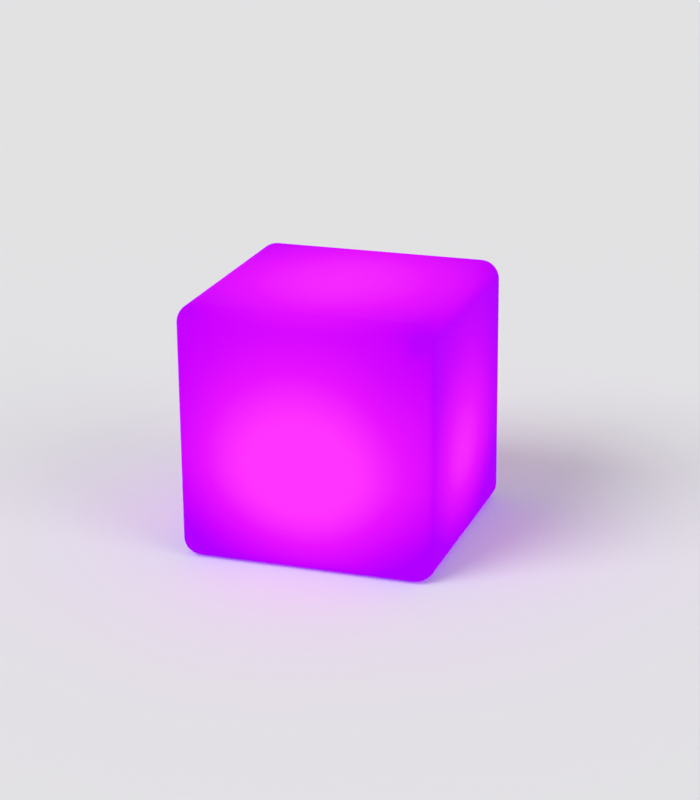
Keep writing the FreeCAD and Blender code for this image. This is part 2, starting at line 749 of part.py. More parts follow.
def make_carrier():
    body = new_body("light_carrier")
    disc = sketch(body, "carrier_disc_outline", level=SHELF)
    circle(disc, "0", "0", f"{SHELF_RADIUS} - sizes.fit_gap")
    pad(body, "carrier_disc", disc, "sizes.carrier_thickness")
    rim = sketch(body, "carrier_rim_outline", level=CARRIER_TOP)
    circle(rim, "0", "0", f"{SHELF_RADIUS} - sizes.fit_gap")
    circle(rim, "0", "0", f"{CUP_BORE} + sizes.fit_gap")
    pad(body, "carrier_rim", rim, f"{RIM} - {CARRIER_TOP}")
    strap_bosses = sketch(body, "strap_bosses_outline", level=STRAP_TOP)
    for x, y in STRAP_SCREWS:
        circle(strap_bosses, x, y, "sizes.post_diameter / 2")
    pad(body, "strap_bosses", strap_bosses, f"{SHELF} - {STRAP_TOP}")
    ribs = sketch(body, "cradle_ribs_outline", level=CELL_LEVEL)
    for side in (-1, 1):
        rectangle(ribs, "0", f"{side} * {RIB_Y}", "sizes.rib_length", "sizes.rib_thickness")
    pad(body, "cradle_ribs", ribs, f"{SHELF} - {CELL_LEVEL}")
    boss = sketch(body, "light_boss_outline", level=f"{SHELF} - sizes.board_screw_length")
    circle(boss, LIGHT_SCREWS_AT, LIGHT_SCREWS_AT, "sizes.post_diameter / 2")
    boss_pad = pad(body, "light_boss", boss, "sizes.board_screw_length")
    repeat_round(body, "light_bosses", boss_pad, boss, "sizes.light_board_screw_count")

    notch = sketch(body, "column_notch_outline", level=SHELF)
    circle(notch, COVER_SCREW_AT, COVER_SCREW_AT, "sizes.cover_boss_diameter / 2 + sizes.fit_gap")
    notched = pocket(body, "column_notch", notch, f"{RIM} - {SHELF}")
    repeat_round(body, "column_notches", notched, notch, "sizes.cover_screw_count")
    thread_end = f"{LIGHT_BOARD_TOP} - sizes.board_screw_length - sizes.thread_run_out"
    thread = sketch(body, "light_thread_outline", level=thread_end)
    circle(thread, LIGHT_SCREWS_AT, LIGHT_SCREWS_AT, THREAD_HOLE)
    threaded = pocket(body, "light_thread", thread, "sizes.board_screw_length + sizes.thread_run_out")
    repeat_round(body, "light_threads", threaded, thread, "sizes.light_board_screw_count")
    strap_threads = sketch(body, "strap_threads_outline", level=STRAP_TOP)
    for x, y in STRAP_SCREWS:
        circle(strap_threads, x, y, THREAD_HOLE)
    pocket(body, "strap_threads", strap_threads, "sizes.board_screw_length")
    slot = sketch(body, "wire_slot_outline", level=SHELF)
    rectangle(slot, "0", LED_CONNECTOR_Y, "sizes.led_connector_length", "3 * sizes.wire_diameter")
    pocket(body, "wire_slot", slot, "sizes.carrier_thickness")
    keep("light_carrier", body)


def make_light_board():
    body = new_body("light_board")
    disc = sketch(body, "light_board_outline", level=CARRIER_TOP)
    circle(disc, "0", "0", LIGHT_BOARD_RADIUS)
    pad(body, "light_board_disc", disc, "sizes.board_thickness")
    hole = sketch(body, "light_board_hole_outline", level=CARRIER_TOP)
    circle(hole, LIGHT_SCREWS_AT, LIGHT_SCREWS_AT, "sizes.board_screw_diameter / 2 + sizes.hole_gap")
    drilled = pocket(body, "light_board_hole", hole, "sizes.board_thickness")
    repeat_round(body, "light_board_holes", drilled, hole, "sizes.light_board_screw_count")
    keep("light_board", body)


# The LED's cup and the receiver's lens, as shares of the package's height or width
LED_CUP_DEPTH = 0.25
LED_CUP_RADIUS = 0.38
RECEIVER_DEPTH = 0.6
RECEIVER_LENS_HEIGHT = 0.65
RECEIVER_LENS_RADIUS = 0.33


def make_leds():
    """Square colour-changing LED packages in two rings, each with a round cup in its top."""
    led = new_body("led_package")
    square = sketch(led, "led_square")
    rectangle(square, "0", "0", "sizes.led_width", "sizes.led_width")
    pad(led, "led_block", square, "sizes.led_height")
    cup = sketch(led, "led_cup_outline", level=f"sizes.led_height * (1 - {LED_CUP_DEPTH})")
    circle(cup, "0", "0", f"sizes.led_width * {LED_CUP_RADIUS}")
    pocket(led, "led_cup", cup, f"sizes.led_height * {LED_CUP_DEPTH}")
    rings = places_round(OUTER_LED_CIRCLE, "sizes.outer_led_count", LIGHT_BOARD_TOP)
    rings += places_round(INNER_LED_CIRCLE, "sizes.inner_led_count", LIGHT_BOARD_TOP)
    group("led_chips", copies(led, rings))


def make_receiver():
    """The small infra-red receiver in the middle of the light board, with its round-nosed lens."""
    width = "sizes.receiver_width"
    depth = f"{width} * {RECEIVER_DEPTH}"
    block = box("receiver_block", width, depth, "sizes.receiver_height", z=LIGHT_BOARD_TOP)
    lens_height = f"sizes.receiver_height * {RECEIVER_LENS_HEIGHT}"
    lens_level = f"{LIGHT_BOARD_TOP} + sizes.receiver_height - {lens_height}"
    lens_size = (f"{width} * {RECEIVER_LENS_RADIUS}", lens_height)
    lens = cylinder("receiver_lens", *lens_size, y=f"-{depth} / 2", z=lens_level)
    keep("remote_receiver", join("receiver", [block, lens]))


def make_light_board_screws():
    one = screw("light_board_screw", *BOARD_SCREW_BODY, *BOARD_SCREW_HEAD)
    count = "sizes.light_board_screw_count"
    spots = places_round(LIGHT_SCREW_CIRCLE, count, LIGHT_BOARD_TOP, first_angle=45)
    group("light_board_screws", copies(one, spots))


def bars_along_x(name, radius, length):
    """Two round bars side by side along X, one on the axis of each cell."""
    along_x = FreeCAD.Rotation(Vector(0, 1, 0), 90)
    bars = []
    for side in (-1, 1):
        at = (f"-{length} / 2", f"{side} * {CELL_SPACING}", CELL_LEVEL)
        bars.append(cylinder(f"{name}_{side + 2}", radius, length, *at, along_x))
    return bars


def stadium(name, radius, length):
    """The two bars with the web between them, as wide as the pair of cells."""
    bars = bars_along_x(f"{name}_bar", radius, length)
    web = box(name + "_web", length, f"2 * {CELL_SPACING}", f"2 * {radius}", z=f"{CELL_LEVEL} - {radius}")
    return join(name, [*bars, web])


def make_battery():
    length = "sizes.cell_length"
    group("battery_cells", bars_along_x("cell", CELL_RADIUS, length))
    sleeve = stadium("wrap_outside", WRAP_RADIUS, f"({length} - 2 * sizes.wrap_setback)")
    space = stadium("wrap_inside", f"({CELL_RADIUS} + sizes.thread_gap)", length)
    keep("battery_wrap", cut("wrap", sleeve, space))
    tabs = []
    for side in (-1, 1):
        x = f"{side} * ({length} / 2 + sizes.tab_thickness / 2)"
        level = f"{CELL_LEVEL} - sizes.tab_height / 2"
        tab_size = ("sizes.tab_thickness", "sizes.tab_length", "sizes.tab_height")
        tabs.append(box(f"tab_{side + 2}", *tab_size, x=x, z=level))
    group("battery_tabs", tabs)
    pad_size = ("sizes.pad_length", "sizes.pad_width", "sizes.pad_thickness")
    keep("battery_pad", box("foam", *pad_size, z=f"{SHELF} - sizes.pad_thickness"))


def make_strap():
    body = new_body("battery_strap")
    strip = sketch(body, "strap_outline", level=STRAP_BOTTOM)
    strap_length = "(sizes.strap_screw_spacing + 2 * sizes.strap_end_margin)"
    rectangle(strip, "0", "0", "sizes.strap_width", strap_length)
    pad(body, "strap_strip", strip, "sizes.strap_thickness")
    holes = sketch(body, "strap_holes_outline", level=STRAP_BOTTOM)
    for x, y in STRAP_SCREWS:
        circle(holes, x, y, "sizes.board_screw_diameter / 2 + sizes.hole_gap")
    pocket(body, "strap_holes", holes, "sizes.strap_thickness")
    keep("battery_strap", body)
    one = screw(
        "strap_screw",
        "sizes.board_screw_diameter",
        "(sizes.strap_thickness + sizes.board_screw_length - sizes.thread_run_out)",
        *BOARD_SCREW_HEAD,
        head_down=True,
    )
    group("strap_screws", copies(one, [(x, y, STRAP_BOTTOM) for x, y in STRAP_SCREWS]))


# ---------------------------------------------------------------------------------------------------------
# The control board, its parts and the charge light's pipe
# ---------------------------------------------------------------------------------------------------------
def make_control_board():
    body = new_body("control_board")
    plate = sketch(body, "control_board_outline", level=CONTROL_BOARD)
    rectangle(plate, "0", BOARD_Y, "sizes.control_board_length", "sizes.control_board_width")
    pad(body, "control_board_plate", plate, "sizes.board_thickness")
    holes = sketch(body, "control_board_holes_outline", level=CONTROL_BOARD)
    for x, y in CONTROL_POSTS:
        circle(holes, x, y, "sizes.board_screw_diameter / 2 + sizes.hole_gap")
    pocket(body, "control_board_holes", holes, "sizes.board_thickness")
    keep("control_board", body)
    one = screw("control_screw", *BOARD_SCREW_BODY, *BOARD_SCREW_HEAD)
    group("control_board_screws", copies(one, [(x, y, CONTROL_BOARD_TOP) for x, y in CONTROL_POSTS]))


def make_board_parts():
    """Three chips in a row, two capacitors at one end, the coil at the other, and the wire connectors."""
    chip_sizes = {
        "controller_chip": ("sizes.controller_length", "sizes.controller_width", "sizes.controller_x"),
        "charger_chip": ("sizes.charger_length", "sizes.controller_width", "sizes.charger_x"),
        "driver_chip": ("sizes.driver_length", "sizes.driver_width", "sizes.driver_x"),
    }
    chips = []
    for name, (length, width, x) in chip_sizes.items():
        chips.append(box(name, length, width, "sizes.chip_height", x, BOARD_Y, CONTROL_BOARD_TOP))
    group("control_chips", chips)
    cans = []
    for side in (-1, 1):
        can_size = ("sizes.capacitor_diameter / 2", "sizes.capacitor_height")
        can_y = f"{BOARD_Y} + {side} * sizes.capacitor_spacing / 2"
        at = (f"-{BOARD_END_X}", can_y, CONTROL_BOARD_TOP)
        cans.append(cylinder(f"capacitor_{side + 2}", *can_size, *at))
    group("capacitors", cans)
    coil_size = ("sizes.coil_diameter / 2", "sizes.coil_height")
    keep("charging_coil", cylinder("coil", *coil_size, BOARD_END_X, BOARD_Y, CONTROL_BOARD_TOP))
    shells = []
    for index in (-1, 0, 1):
        x = f"{index} * sizes.connector_spacing"
        shell_size = ("sizes.connector_length", "sizes.connector_width", "sizes.connector_height")
        shells.append(box(f"connector_{index + 2}", *shell_size, x, CONNECTOR_Y, CONTROL_BOARD_TOP))
    led_size = ("sizes.led_connector_length", "sizes.connector_width", "sizes.connector_height")
    shells.append(box("connector_led", *led_size, "0", LED_CONNECTOR_Y, CONTROL_BOARD_TOP))
    group("wire_connectors", shells)


def make_charge_light():
    """A clear light pipe pressed in the base plate, and the charge LED above it under the control board."""
    radius = "sizes.light_pipe_diameter / 2"
    collar, collar_top = f"{radius} + sizes.light_pipe_collar", f"{PLATE_TOP} + sizes.light_pipe_collar"
    face = f"{FLANGE_BOTTOM} - sizes.light_pipe_projection"
    top = f"{CONTROL_BOARD} - sizes.charge_led_height - sizes.fit_gap"
    pipe = turned(
        "light_pipe",
        [
            ("0", face),
            (f"{radius} - sizes.light_pipe_projection", face),
            (radius, FLANGE_BOTTOM),
            (radius, PLATE_TOP),
            (collar, PLATE_TOP),
            (collar, collar_top),
            (radius, collar_top),
            (radius, top),
            ("0", top),
        ],
    )
    keep("charge_light_pipe", place(pipe, "0", BOARD_Y))
    lamp_size = ("sizes.charge_led_length", "sizes.charge_led_width", "sizes.charge_led_height")
    lamp_level = f"{CONTROL_BOARD} - sizes.charge_led_height"
    keep("charge_led", box("charge_lamp", *lamp_size, "0", BOARD_Y, lamp_level))


# ---------------------------------------------------------------------------------------------------------
# Panel fittings: their own Z = 0 is the outer face of the base plate, and they reach up through it
# ---------------------------------------------------------------------------------------------------------
def make_nut(label, thread_diameter, x, y):
    """A six-sided nut that clamps a fitting to the base plate from the inside."""
    body = new_body(label)
    hexagon = sketch(body, label + "_hexagon", level="sizes.plate_thickness")
    across = f"(({thread_diameter} / 2 + sizes.nut_rim) / cos(30))"
    outline(hexagon, [(f"{across} * cos({a})", f"{across} * sin({a})") for a in range(0, 360, 60)])
    circle(hexagon, "0", "0", f"{thread_diameter} / 2 + sizes.thread_gap")
    pad(body, label + "_blank", hexagon, "sizes.nut_thickness")
    place(body, x, y, FLANGE_BOTTOM)
    keep(label, body)


def make_seal_ring(label, thread_diameter, flange_diameter, x, y):
    """A rubber ring let into the fitting's flange, pressed on the outer face of the plate."""
    middle = f"(({thread_diameter} + {flange_diameter}) / 4)"
    body = turned(
        label,
        [
            (f"{middle} - sizes.seal_wire / 2", "-sizes.seal_wire"),
            (f"{middle} + sizes.seal_wire / 2", "-sizes.seal_wire"),
            (f"{middle} + sizes.seal_wire / 2", "0"),
            (f"{middle} - sizes.seal_wire / 2", "0"),
        ],
    )
    place(body, x, y, FLANGE_BOTTOM)
    keep(label, body)


def fitting_section(thread, flange, thickness, height, bore_steps):
    """The half section of a threaded fitting: its flange with the seal's groove, its barrel and its bore."""
    middle = f"(({thread} + {flange}) / 4)"
    groove_in, groove_out = f"{middle} - sizes.seal_wire / 2", f"{middle} + sizes.seal_wire / 2"
    return [
        *bore_steps,
        ("0", height),
        (f"{thread} / 2", height),
        (f"{thread} / 2", "0"),
        (groove_in, "0"),
        (groove_in, "-sizes.seal_wire"),
        (groove_out, "-sizes.seal_wire"),
        (groove_out, "0"),
        (f"{flange} / 2", "0"),
        (f"{flange} / 2", f"-{thickness} + sizes.fitting_bevel"),
        (f"{flange} / 2 - sizes.fitting_bevel", f"-{thickness}"),
    ]


def lug(name, x, y, z):
    """An upright solder lug; a wire leaves it level, from its face towards +Y."""
    return box(name, "sizes.lug_width", "sizes.lug_thickness", "sizes.lug_height", x, y, z)


def spring_solid(bottom, top):
    """A coil spring between two heights: a tube along short arcs that meet half way between its points."""
    wire, turns = number("sizes.spring_wire"), round(number("sizes.spring_turns"))
    coil_radius = number(SWITCH_BORE) - wire / 2 - number("sizes.fit_gap")
    points_a_turn = 8
    step = 2 * math.pi / points_a_turn
    corner_radius = coil_radius / math.cos(step / 2)
    count = turns * points_a_turn
    rise = (top - bottom - wire) / count
    points = []
    for index in range(count + 1):
        angle = index * step
        height = bottom + wire / 2 + index * rise
        points.append(Vector(corner_radius * math.cos(angle), corner_radius * math.sin(angle), height))
    return wire_solid(points, wire / 2, share=0.5)


SWITCH = ("sizes.switch_x", "sizes.switch_y", FLANGE_BOTTOM)
MOUTH = "(sizes.button_diameter / 2 + sizes.sliding_gap)"
SWITCH_BORE = "(sizes.button_diameter / 2 + sizes.collar_width + 2 * sizes.sliding_gap)"
SWITCH_END = "(sizes.plate_thickness + sizes.barrel_height)"
BORE_END = f"({SWITCH_END} - sizes.switch_end_wall)"
COLLAR_REST = "(sizes.fit_gap / 3)"


def make_switch():
    bore = [
        (MOUTH, "-sizes.bezel_thickness"),
        (MOUTH, "0"),
        (SWITCH_BORE, "0"),
        (SWITCH_BORE, BORE_END),
        ("0", BORE_END),
    ]
    barrel = "sizes.barrel_diameter"
    section = fitting_section(barrel, "sizes.bezel_diameter", "sizes.bezel_thickness", SWITCH_END, bore)
    keep("switch_body", place(turned("switch_body", section), *SWITCH))
    make_nut("switch_nut", barrel, *SWITCH[:2])
    make_seal_ring("switch_seal", barrel, "sizes.bezel_diameter", *SWITCH[:2])

    collar_top = f"({COLLAR_REST} + sizes.collar_height)"
    face = "(-sizes.bezel_thickness - sizes.button_projection)"
    radius, collar = "sizes.button_diameter / 2", "(sizes.button_diameter / 2 + sizes.collar_width)"
    button = turned(
        "power_button",
        [
            ("0", face),
            (f"{radius} - sizes.button_bevel", face),
            (radius, f"{face} + sizes.button_bevel"),
            (radius, COLLAR_REST),
            (collar, COLLAR_REST),
            (collar, collar_top),
            (f"{radius} / 2", collar_top),
            (f"{radius} / 2", f"{collar_top} + sizes.plunger_height"),
            ("0", f"{collar_top} + sizes.plunger_height"),
        ],
    )
    keep("power_button", place(button, *SWITCH))

    spring = doc.addObject("Part::Feature", "button_spring")
    spring.Shape = spring_solid(number(collar_top), number(BORE_END))
    spring.Placement = FreeCAD.Placement(Vector(*(number(part) for part in SWITCH)), FreeCAD.Rotation())
    keep("button_spring", spring)

    lugs = []
    for side in (-1, 1):
        x = f"(sizes.switch_x + {side} * sizes.lug_spacing / 2)"
        lugs.append(lug(f"switch_lug_{side + 2}", x, "sizes.switch_y", f"{FLANGE_BOTTOM} + {SWITCH_END}"))
    group("switch_terminals", lugs)


SOCKET = ("sizes.socket_x", "sizes.socket_y", FLANGE_BOTTOM)
SOCKET_END = "(sizes.plate_thickness + sizes.socket_height)"
SOCKET_FLOOR = "(sizes.socket_bore_depth - sizes.bezel_thickness)"
PIN_HOLE = "(sizes.pin_diameter / 2 + sizes.thread_gap)"
PIN_END = f"({SOCKET_END} + sizes.pin_tail)"
SLEEVE_LUG_X = "(sizes.socket_x + sizes.sleeve_lug_offset)"


def make_socket():
    bore = "sizes.socket_bore / 2"
    section = fitting_section(
        "sizes.socket_diameter", "sizes.socket_flange_diameter", "sizes.bezel_thickness", SOCKET_END,
        [(bore, "-sizes.bezel_thickness"), (bore, SOCKET_FLOOR), (PIN_HOLE, SOCKET_FLOOR)],
    )
    # the barrel is open on its axis, where the centre pin goes through to the back
    section[3] = (PIN_HOLE, SOCKET_END)
    keep("charge_socket", place(turned("charge_socket", section), *SOCKET))
    make_nut("socket_nut", "sizes.socket_diameter", *SOCKET[:2])
    make_seal_ring("socket_seal", "sizes.socket_diameter", "sizes.socket_flange_diameter", *SOCKET[:2])
    pin_radius = "sizes.pin_diameter / 2"
    pin_tip = "(sizes.pin_setback - sizes.bezel_thickness)"
    pin = turned(
        "socket_pin",
        [
            ("0", pin_tip),
            (f"{pin_radius} - sizes.pin_bevel", pin_tip),
            (pin_radius, f"{pin_tip} + sizes.pin_bevel"),
            (pin_radius, PIN_END),
            ("0", PIN_END),
        ],
    )
    keep("socket_pin", place(pin, *SOCKET))
    sleeve_lug = lug("sleeve_lug", SLEEVE_LUG_X, "sizes.socket_y", f"{FLANGE_BOTTOM} + {SOCKET_END}")
    pin_lug = lug("pin_lug", "sizes.socket_x", "sizes.socket_y", f"{FLANGE_BOTTOM} + {PIN_END}")
    group("socket_terminals", [sleeve_lug, pin_lug])


STOPPER_TOP = "(-sizes.bezel_thickness - sizes.sliding_gap)"
STOPPER_BOTTOM = f"({STOPPER_TOP} - sizes.stopper_thickness)"


def make_stopper():
    """The rubber stopper in the charging socket: a pull tab, a round head and a hollow nose over the pin."""
    nose = "(sizes.socket_bore / 2 - 3 * sizes.sliding_gap)"
    hollow = "(sizes.pin_diameter / 2 + sizes.fit_gap)"
    nose_end = f"({STOPPER_TOP} + sizes.stopper_nose_length)"
    head = "sizes.stopper_diameter / 2"
    body = new_body("charge_stopper")
    section = sketch(body, "stopper_section", "XZ_Plane")
    outline(
        section,
        [
            ("0", STOPPER_BOTTOM),
            (f"{head} - sizes.stopper_bevel", STOPPER_BOTTOM),
            (head, f"{STOPPER_BOTTOM} + sizes.stopper_bevel"),
            (head, STOPPER_TOP),
            (nose, STOPPER_TOP),
            (nose, f"{nose_end} - sizes.stopper_nose_bevel"),
            (f"{nose} - sizes.stopper_nose_bevel", nose_end),
            (hollow, nose_end),
            (hollow, STOPPER_TOP),
            ("0", STOPPER_TOP),
        ],
    )
    turn(body, "stopper_turned", section)
    tab = sketch(body, "pull_tab_outline", level=f"{STOPPER_BOTTOM} - sizes.pull_tab_height")
    rectangle(tab, "0", "0", "sizes.stopper_thickness", "sizes.pull_tab_length")
    pad(body, "pull_tab", tab, "sizes.pull_tab_height + sizes.fit_gap")
    keep("charge_stopper", place(body, *SOCKET))


def make_tether():
    """The stopper's strap: an eye under a screw on the base plate, and a sloping strip down to the head."""
    head = "sizes.stopper_diameter / 2"
    thick = "sizes.tether_thickness"
    strip_start = f"({head} + sizes.sliding_gap)"
    eye = "(sizes.tether_width / 2 + sizes.tether_eye_margin)"
    slope_end = "(sizes.tether_length - sizes.tether_width / 2 - sizes.tether_bend_shift)"
    low = f"({STOPPER_TOP} - {thick})"
    body = new_body("stopper_tether")
    side = sketch(body, "tether_side", "XZ_Plane")
    outline(
        side,
        [
            (strip_start, low),
            (f"{strip_start} + sizes.tether_level_length", low),
            (slope_end, f"-{thick}"),
            ("sizes.tether_length", f"-{thick}"),
            ("sizes.tether_length", "0"),
            (f"{slope_end} - sizes.tether_bend_shift", "0"),
            (f"{strip_start} + sizes.tether_level_length - sizes.tether_bend_shift", f"{low} + {thick}"),
            (strip_start, f"{low} + {thick}"),
        ],
    )
    strip = pad(body, "tether_strip", side, "sizes.tether_width")
    strip.Midplane = True
    eye_disc = sketch(body, "tether_eye_outline", level=f"-{thick}")
    circle(eye_disc, "sizes.tether_length", "0", eye)
    pad(body, "tether_eye", eye_disc, thick)
    hole = sketch(body, "tether_hole_outline", level=f"-{thick}")
    circle(hole, "sizes.tether_length", "0", "sizes.board_screw_diameter / 2 + sizes.hole_gap")
    pocket(body, "tether_hole", hole, thick)
    keep("stopper_tether", place(body, *SOCKET))
    one = screw(
        "tether_screw",
        "sizes.board_screw_diameter",
        f"({thick} + sizes.board_screw_length)",
        "2 * sizes.board_screw_diameter",
        "0.6 * sizes.board_screw_diameter",
        head_down=True,
    )
    place(one, TETHER_SCREW_X, "sizes.socket_y", f"{FLANGE_BOTTOM} - {thick}")
    keep("tether_screw", one)


# ---------------------------------------------------------------------------------------------------------
# The wires inside, each one unbroken tube along straight runs joined by tangent arcs
# ---------------------------------------------------------------------------------------------------------
def wire_solid(points, radius, share=0.45):
    """A round tube through points; each bend's arc takes share of the shorter run beside it."""
    edges = []
    tightest = math.inf
    start = points[0]
    for before, here, after in zip(points, points[1:], points[2:]):
        way_in, way_out = (here - before), (after - here)
        reach = share * min(way_in.Length, way_out.Length)
        way_in.normalize()
        way_out.normalize()
        bend_start, bend_end = here - way_in * reach, here + way_out * reach
        half_turn = way_in.getAngle(way_out) / 2
        bend_radius = reach / math.tan(half_turn)
        tightest = min(tightest, bend_radius)
        inward = (way_out - way_in).normalize()
        middle = here + inward * (bend_radius / math.cos(half_turn) - bend_radius)
        if start.distanceToPoint(bend_start) > radius / 100:
            edges.append(Part.LineSegment(start, bend_start).toShape())
        edges.append(Part.Arc(bend_start, middle, bend_end).toShape())
        start = bend_end
    edges.append(Part.LineSegment(start, points[-1]).toShape())
    path = Part.Wire(edges)
    ring = Part.Wire(Part.makeCircle(radius, points[0], points[1] - points[0]))
    tube = path.makePipeShell([ring], True, False)
    filled = tube.Volume / (math.pi * radius * radius * path.Length)
    print(f"tube of {path.Length:.0f} mm, least radius {tightest:.1f}, volume ratio {filled:.4f}")
    return tube


def wires(label, routes):
    made = []
    for index, route in enumerate(routes, start=1):
        item = doc.addObject("Part::Feature", f"{label}_{index}")
        item.Shape = wire_solid([Vector(*point) for point in route], number("sizes.wire_diameter / 2"))
        made.append(item)
    group(label, made)


def make_wires():
    pitch = number("sizes.wire_pitch")
    spacing = number("sizes.connector_spacing")
    connector_face = number(f"{CONNECTOR_Y} - sizes.connector_width / 2")
    battery_entry = number(f"{CONTROL_BOARD_TOP} + sizes.wire_diameter")
    upper_entry = number(f"{CONTROL_BOARD_TOP} + sizes.connector_height - sizes.wire_diameter")
    lug_face = number("sizes.lug_thickness / 2")
    lug_middle = number("sizes.lug_height / 2")
    # the offsets along the routes are shares of one straight run
    run = number("5 * sizes.wire_diameter")

    # from each cell tab out and down past the cells' ends, then low across to the middle connector
    end_x = number("sizes.cell_length / 2 + sizes.tab_thickness")
    cell_z = number(CELL_LEVEL)
    battery = []
    for side in (-1, 1):
        battery.append([
            (side * end_x, 0, cell_z),
            (side * (end_x + 0.6 * run), 0, cell_z),
            (side * (end_x + run), 0.2 * run, cell_z - 0.7 * run),
            (side * (end_x + 0.85 * run), 0.6 * run, cell_z - 1.7 * run),
            (side * (end_x - 0.3 * run), 0.85 * run, battery_entry + 0.5 * run),
            (side * (end_x - 1.9 * run), 0.65 * run, battery_entry),
            (side * 1.3 * run, 0.6 * run, battery_entry + 0.03 * run),
            (side * 2 * pitch, connector_face - 1.2 * run, battery_entry),
            (side * pitch, connector_face - 0.7 * run, battery_entry),
            (side * pitch, connector_face, battery_entry),
        ])
    wires("battery_leads", battery)

    # from the lugs behind the switch, level under the battery and down to the left connector
    back_x, back_y = number("sizes.switch_x"), number("sizes.switch_y")
    lug_z = number(f"{FLANGE_BOTTOM} + {SWITCH_END}") + lug_middle
    switch = []
    for side in (-1, 1):
        lug_x = back_x + side * number("sizes.lug_spacing / 2")
        switch.append([
            (lug_x, back_y + lug_face, lug_z),
            (lug_x, back_y + run, lug_z),
            (lug_x + 0.4 * run, back_y + 2.1 * run, lug_z - 0.2 * run),
            (-spacing + (1.3 * side - 0.8) * pitch, back_y + 3 * run, upper_entry + 0.1 * run),
            (-spacing + side * pitch, connector_face - run, upper_entry),
            (-spacing + side * pitch, connector_face, upper_entry),
        ])
    wires("switch_leads", switch)

    # from the pin's and the sleeve's lugs behind the socket, the same way to the right connector
    jack_y = number("sizes.socket_y")
    pin_z = number(f"{FLANGE_BOTTOM} + {PIN_END}") + lug_middle
    sleeve_z = number(f"{FLANGE_BOTTOM} + {SOCKET_END}") + lug_middle
    ends = [(number("sizes.socket_x"), pin_z, -1), (number(SLEEVE_LUG_X), sleeve_z, 1)]
    socket = []
    for lug_x, level, side in ends:
        socket.append([
            (lug_x, jack_y + lug_face, level),
            (lug_x, jack_y + run, level),
            (lug_x - 0.4 * run, jack_y + 2.1 * run, level - 0.07 * run),
            (spacing + (1.3 * side + 0.8) * pitch, jack_y + 3 * run, upper_entry + 0.1 * run),
            (spacing + side * pitch, connector_face - run, upper_entry),
            (spacing + side * pitch, connector_face, upper_entry),
        ])
    wires("socket_leads", socket)

    # five wires from the back connector up through the carrier's slot to the light board, a little slack
    led_y = number(LED_CONNECTOR_Y)
    bottom = number(f"{CONTROL_BOARD_TOP} + sizes.connector_height")
    board = number(CARRIER_TOP)
    rise = board - bottom
    light = []
    for index in range(5):
        x = (index - 2) * 2 * pitch
        light.append([
            (x, led_y, bottom),
            (x, led_y, bottom + 0.2 * rise),
            (x * 1.05, led_y + 0.35 * run, bottom + 0.45 * rise),
            (x, led_y, bottom + 0.75 * rise),
            (x, led_y, board),
        ])
    wires("light_leads", light)


def write_parts():
    """Checks every object and each sub-part's shape, then writes one STEP file for each sub-part."""
    doc.recompute()
    failed = [item.Label for item in doc.Objects if {"Invalid", "Error"} & set(item.State)]
    if failed:
        raise RuntimeError(f"these objects did not compute: {failed}")
    os.makedirs("parts", exist_ok=True)
    for item in nodes:
        shape = item.Shape
        if shape.isNull() or not shape.isValid() or not shape.Solids:
            raise RuntimeError(f"{item.Label} has no valid solid")
    for item in nodes:
        item.Shape.exportStep(os.path.join("parts", item.Label + ".step"))
    print(f"{len(nodes)} sub-parts written")


make_shell()
make_inserts()
make_module_gasket()
make_module_screws()
make_housing()
make_cover_gasket()
make_cover()
make_cover_screws()
make_carrier()
make_light_board()
make_leds()
make_receiver()
make_light_board_screws()
make_battery()
make_strap()
make_control_board()
make_board_parts()
make_charge_light()
make_switch()
make_socket()
make_stopper()
make_tether()
make_wires()
write_parts()
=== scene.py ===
"""The looks of a glowing cube lamp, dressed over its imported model. Metres, +Z up; it stands on Z = 0."""

import math

import bmesh
import bpy
from mathutils import Matrix, Vector


